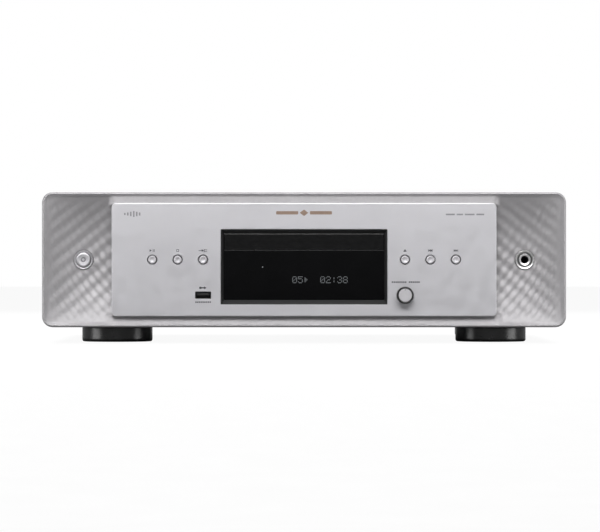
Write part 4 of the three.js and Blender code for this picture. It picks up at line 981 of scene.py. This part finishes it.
def build_screws():
    width, low, high = rear_high[0], rear_low[2], rear_high[2]
    rear = []
    for z in (high - 5, low + 6):
        for x in (-width + 8, -width / 2, 0, width / 2, width - 8):
            rear += screw(x, z, REAR, 1, "y")
    inlet = middle("mains_inlet")
    inlet_face = cad("mains_inlet")[1][1] - 0.02
    for x in (inlet[0] - 19.5, inlet[0] + 19.5):
        rear += screw(x, inlet[2], inlet_face, 1, "y", 2.4, 1.2)
    for node, shift in (("output_jack_right", -13), ("coaxial_jack", -13), ("remote_jack", 13)):
        rear += screw(middle(node)[0] + shift, jack_z(node), REAR, 1, "y", 1.9, 1.0)
    joined("rear_screws", rear, "dark_nickel")

    sides = []
    side_y = [cover_low[1] + 38, 0, cover_high[1] - 38]
    for side, face in ((-1, cover_low[0]), (1, cover_high[0])):
        for y in side_y:
            sides += screw(y, pan_low[2] + 9, face, side, "x", 3.2, 1.5)
    joined("side_screws", sides, "zinc")

    under = []
    for x in (-0.62, 0, 0.62):
        for y in (pan_low[1] + 10, pan_high[1] - 10):
            under += screw(x * pan_high[0], y, pan_low[2], -1, "z", 2.6, 1.0)
    for node in FEET:
        place = middle(node)
        under += screw(place[0], place[1], 1.5, -1, "z", 4.2, 1.2)
    joined("under_screws", under, "zinc")


def build_jack_rings():
    for node, mat in JACKS.items():
        tip = cad(node)[1][1]
        deep, lip, flat, edge = tip - 1.2, tip + 0.02, REAR + 1.28, REAR + 2.5
        core = [(1.85, deep), (1.85, lip), (3.15, lip), (3.15, tip - 0.1), (2.3, deep), (1.85, deep)]
        collar = [(4.2, flat), (4.2, edge), (5.5, edge), (5.5, flat), (4.2, flat)]
        centre = (middle(node)[0], 0, jack_z(node))
        joined(node + "_ring", [lathe_shell(p, centre, "y", 40, 0.08) for p in (core, collar)], mat)


def jack_z(node):
    """Height of a jack's axis: the middle of its washer, which is the highest part."""
    return cad(node)[1][2] - WASHER_RADIUS


def build_inlet_blades():
    x, _, z = middle("mains_inlet")
    mouth = cad("mains_inlet")[1][1]
    half_x, half_z = 1.06, 2.06
    blades = []
    for dx, dz in ((-7, -2.2), (0, 2.2), (7, -2.2)):
        low = (x + dx - half_x, mouth - 14.9, z + dz - half_z)
        blades.append(box_shell(low, (x + dx + half_x, mouth - 5.42, z + dz + half_z), 0.4))
    joined("inlet_blades", blades, "polished")


def frame_line(x, z, r=2.0, line=0.45):
    """A thin printed frame on the rear panel."""
    outer = rounded(*x, *z, r, 4)
    inner = rounded(x[0] + line, x[1] - line, z[0] + line, z[1] - line, r - line, 4)
    return plate_shell([(outer, 0, 0), (inner, 0, 0)], REAR - 0.02, REAR + 0.03, "y")


def build_rear_print():
    z = jack_z("coaxial_jack")
    groups = [("output_jack_left", "output_jack_right"), ("optical_socket", "coaxial_jack")]
    groups.append(("remote_jack", "remote_jack"))
    frames = [frame_line((middle(a)[0] - 11, middle(b)[0] + 11), (z - 13, z + 17)) for a, b in groups]
    inlet = middle("mains_inlet")
    frames.append(frame_line((inlet[0] - 28, inlet[0] + 28), (inlet[2] - 17, inlet[2] + 21)))
    joined("rear_print", frames, "ink_white")


build_screws()
build_jack_rings()
build_inlet_blades()
build_rear_print()


# Drawer: front edge to the disc's centre, the wells' radii, the large one's depth and the slot's half-width.
DISC_SETBACK = 68.0
WELL_RADIUS = 61.5
SMALL_WELL_RADIUS = 40.7
WELL_DEPTH = 3.0
SLOT_HALF = 20.0


def broken_ring(profile, centre, half_gap, steps=96):
    """A rib turned about Z, broken at the rear where the drawer's slot passes."""
    gap = math.asin(half_gap / profile[0][0])
    rings = []
    for k in range(steps + 1):
        a = math.pi / 2 + gap + (TAU - 2 * gap) * k / steps
        rings.append([(centre[0] + r * math.cos(a), centre[1] + r * math.sin(a), h) for r, h in profile])
    return loft_shell(rings, closed=False)


def build_tray_details():
    """Raised lips round the two disc wells."""
    low, high = cad("disc_tray")
    centre = (0, low[1] + DISC_SETBACK)
    ribs = []
    wells = ((WELL_RADIUS, high[2], 0.35), (SMALL_WELL_RADIUS, high[2] - WELL_DEPTH, 0.3))
    for radius, level, height in wells:
        inner, base = radius + 0.1, level - 0.04
        crest = level + height
        profile = [(inner, base), (inner + 0.25, crest), (inner + 0.95, crest), (inner + 1.2, base)]
        ribs.append(broken_ring(profile, centre, SLOT_HALF + 0.3))
    joined("tray_lips", ribs, "tray_black", "drawer")


build_tray_details()


# ---- CAD nodes that stay: rounded edges, even shading and a finish ----

# Finish of each, with its nodes and the width of their eased edges.
KEPT = {
    "cover_paint": {"top_cover": 0.25},
    "zinc": {
        "base_pan": 0.25, "level_shaft": 0.2, "loading_motor": 0.4, "clamp_bridge": 0.25, "mech_deck": 0.2,
        "spindle_motor": 0.5, "sled_motor": 0.4, "transformer_clamp": 0.3,
    },
    "dark_steel": {"rear_panel": 0.2},
    "matte_black": {
        "panel_carrier": 0.3, "drive_frame": 0.5, "clamp_puck": 0.35, "turntable": 0.25,
        "optical_socket": 0.25, "mains_inlet": 0.35,
    },
    "circuit_board": {"display_module": 0.2, "button_board": 0.2},
    "main_circuit": {"main_board": 0.2},
    "power_circuit": {"power_board": 0.2},
    "grey_plastic": {"level_control": 0.3, "power_switch": 0.4, "lift_frame": 0.4},
    "tray_black": {"disc_tray": 0.35},
    "nylon": {"drive_gear": 0.1, "motor_pulley": 0.2, "sled_gear": 0.1},
    "rubber": {"drive_belt": 0.15, "mains_lead": 0.2},
    "polished": {"guide_rod_left": 0.25, "guide_rod_right": 0.25},
    "cast_alloy": {"laser_sled": 0.3},
    "gold": {"output_jack_right": 0.2, "output_jack_left": 0.2, "coaxial_jack": 0.2, "remote_jack": 0.2},
    "winding": {"toroid_transformer": 0.6},
    "white_plastic": {"drive_ribbon": 0.05},
}


def dress(node, mat, width):
    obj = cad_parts[node]
    obj.data.materials.clear()
    obj.data.materials.append(MATS[mat])
    weld = obj.modifiers.new("weld", "WELD")
    weld.merge_threshold = 0.002 * MM
    flat = obj.modifiers.new("flat_faces", "DECIMATE")
    flat.decimate_type = "DISSOLVE"
    flat.angle_limit = math.radians(1.0)
    bevel = obj.modifiers.new("eased_edges", "BEVEL")
    bevel.width = width * MM
    bevel.segments = 2
    bevel.limit_method = "ANGLE"
    bevel.angle_limit = math.radians(32)
    bevel.harden_normals = False
    even_shading(obj)
    for polygon in obj.data.polygons:
        polygon.use_smooth = True


for mat, widths in KEPT.items():
    for node, width in widths.items():
        dress(node, mat, width)


# ---- Camera, light and floor ----

SENSOR = 36.0
FRAME_WIDTH = 505.9  # width of the view at the rim's plane
DISTANCE = 3000.0
CAMERA_X = -3.4
CAMERA_Z = 64.7
camera_data = bpy.data.cameras.new("camera")
camera_data.sensor_width = SENSOR
camera_data.lens = SENSOR * DISTANCE / FRAME_WIDTH
camera_data.clip_start = 0.05
camera = bpy.data.objects.new("camera", camera_data)
camera.location = (CAMERA_X * MM, (RIM - DISTANCE) * MM, CAMERA_Z * MM)
camera.rotation_euler = (math.pi / 2, 0, 0)
link(camera)
bpy.context.scene.camera = camera


def area_light(name, place, aim, size, power, spread=180):
    """A soft light at place, in metres, turned towards aim."""
    data = bpy.data.lights.new(name, "AREA")
    data.shape = "RECTANGLE"
    data.size, data.size_y = size
    data.energy = power
    data.spread = math.radians(spread)
    light = bpy.data.objects.new(name, data)
    light.location = place
    light.visible_camera = False
    light.rotation_euler = (Vector(aim) - Vector(place)).to_track_quat("-Z", "Y").to_euler()
    link(light)


area_light("key", (-0.04, -0.81, 0.5), (-0.01, -0.2, 0.1), (1.5, 0.36), 1.72, spread=62)
area_light("top", (0, 0.1, 1.5), (0, 0, 0.1), (2.2, 1.3), 20)
area_light("left_strip", (-1.05, -0.475, 0.17), (-0.1, -0.25, 0.02), (0.5, 0.34), 2.7)
area_light("right_strip", (1.05, -0.475, 0.17), (0.1, -0.25, 0.02), (0.5, 0.34), 2.7)
area_light("back", (0, 1.7, 0.75), (0, 0.2, 0.07), (1.8, 0.9), 14)

world = bpy.data.worlds.new("studio")
bpy.context.scene.world = world
world.use_nodes = True
world_nodes, world_links = world.node_tree.nodes, world.node_tree.links


def world_background(node, colour, strength):
    node.inputs["Color"].default_value = (*colour, 1)
    node.inputs["Strength"].default_value = strength
    return node.outputs["Background"]


# Dim light from all round, with a white backdrop where nothing stands.
fill = world_background(world_nodes["Background"], (0.96, 0.98, 1.0), 0.14)
backdrop = world_background(world_nodes.new("ShaderNodeBackground"), (1, 1, 1), 1.0)
switch = world_nodes.new("ShaderNodeMixShader")
rays = world_nodes.new("ShaderNodeLightPath")
world_links.new(rays.outputs["Is Camera Ray"], switch.inputs["Fac"])
world_links.new(fill, switch.inputs[1])
world_links.new(backdrop, switch.inputs[2])
world_links.new(switch.outputs["Shader"], world_nodes["World Output"].inputs["Surface"])
bpy.context.scene.view_settings.view_transform = "Standard"


def floor_material():
    """Matt white table with a glow of its own for the camera, so that it stays pale under the case."""
    tree = Tree("floor_white")
    cloud = tree.spread(tree.noise(3.0, 3.0), 0, 1)
    tree.feed("Base Color", tree.mix(cloud, (0.23, 0.23, 0.23), (0.25, 0.25, 0.25)))
    tree.feed("Roughness", tree.spread(tree.noise(40.0), 0.55, 0.65))
    tree.bump(tree.noise(400.0), 0.1, 0.0001)
    glow = tree.add("ShaderNodeEmission", Strength=1.17)
    seen = tree.add("ShaderNodeLightPath").outputs["Is Camera Ray"]
    share = tree.add("ShaderNodeMath")
    share.operation = "MULTIPLY"
    share.inputs[1].default_value = 0.8
    tree.link(seen, share.inputs[0])
    mix = tree.add("ShaderNodeMixShader")
    tree.link(share.outputs[0], mix.inputs["Fac"])
    tree.link(tree.shader.outputs[0], mix.inputs[1])
    tree.link(glow.outputs[0], mix.inputs[2])
    tree.link(mix.outputs[0], tree.nodes["Material Output"].inputs["Surface"])
    return tree.material


FLOOR_REACH = 8.0  # metres
FLOOR_Z = -0.0003
corners = [(-1, -1), (1, -1), (1, 1), (-1, 1)]
floor_mesh = bpy.data.meshes.new("floor")
floor_mesh.from_pydata([(x * FLOOR_REACH, y * FLOOR_REACH, FLOOR_Z) for x, y in corners], [], [(0, 1, 2, 3)])
floor = bpy.data.objects.new("floor", floor_mesh)
floor_mesh.materials.append(floor_material())
link(floor)
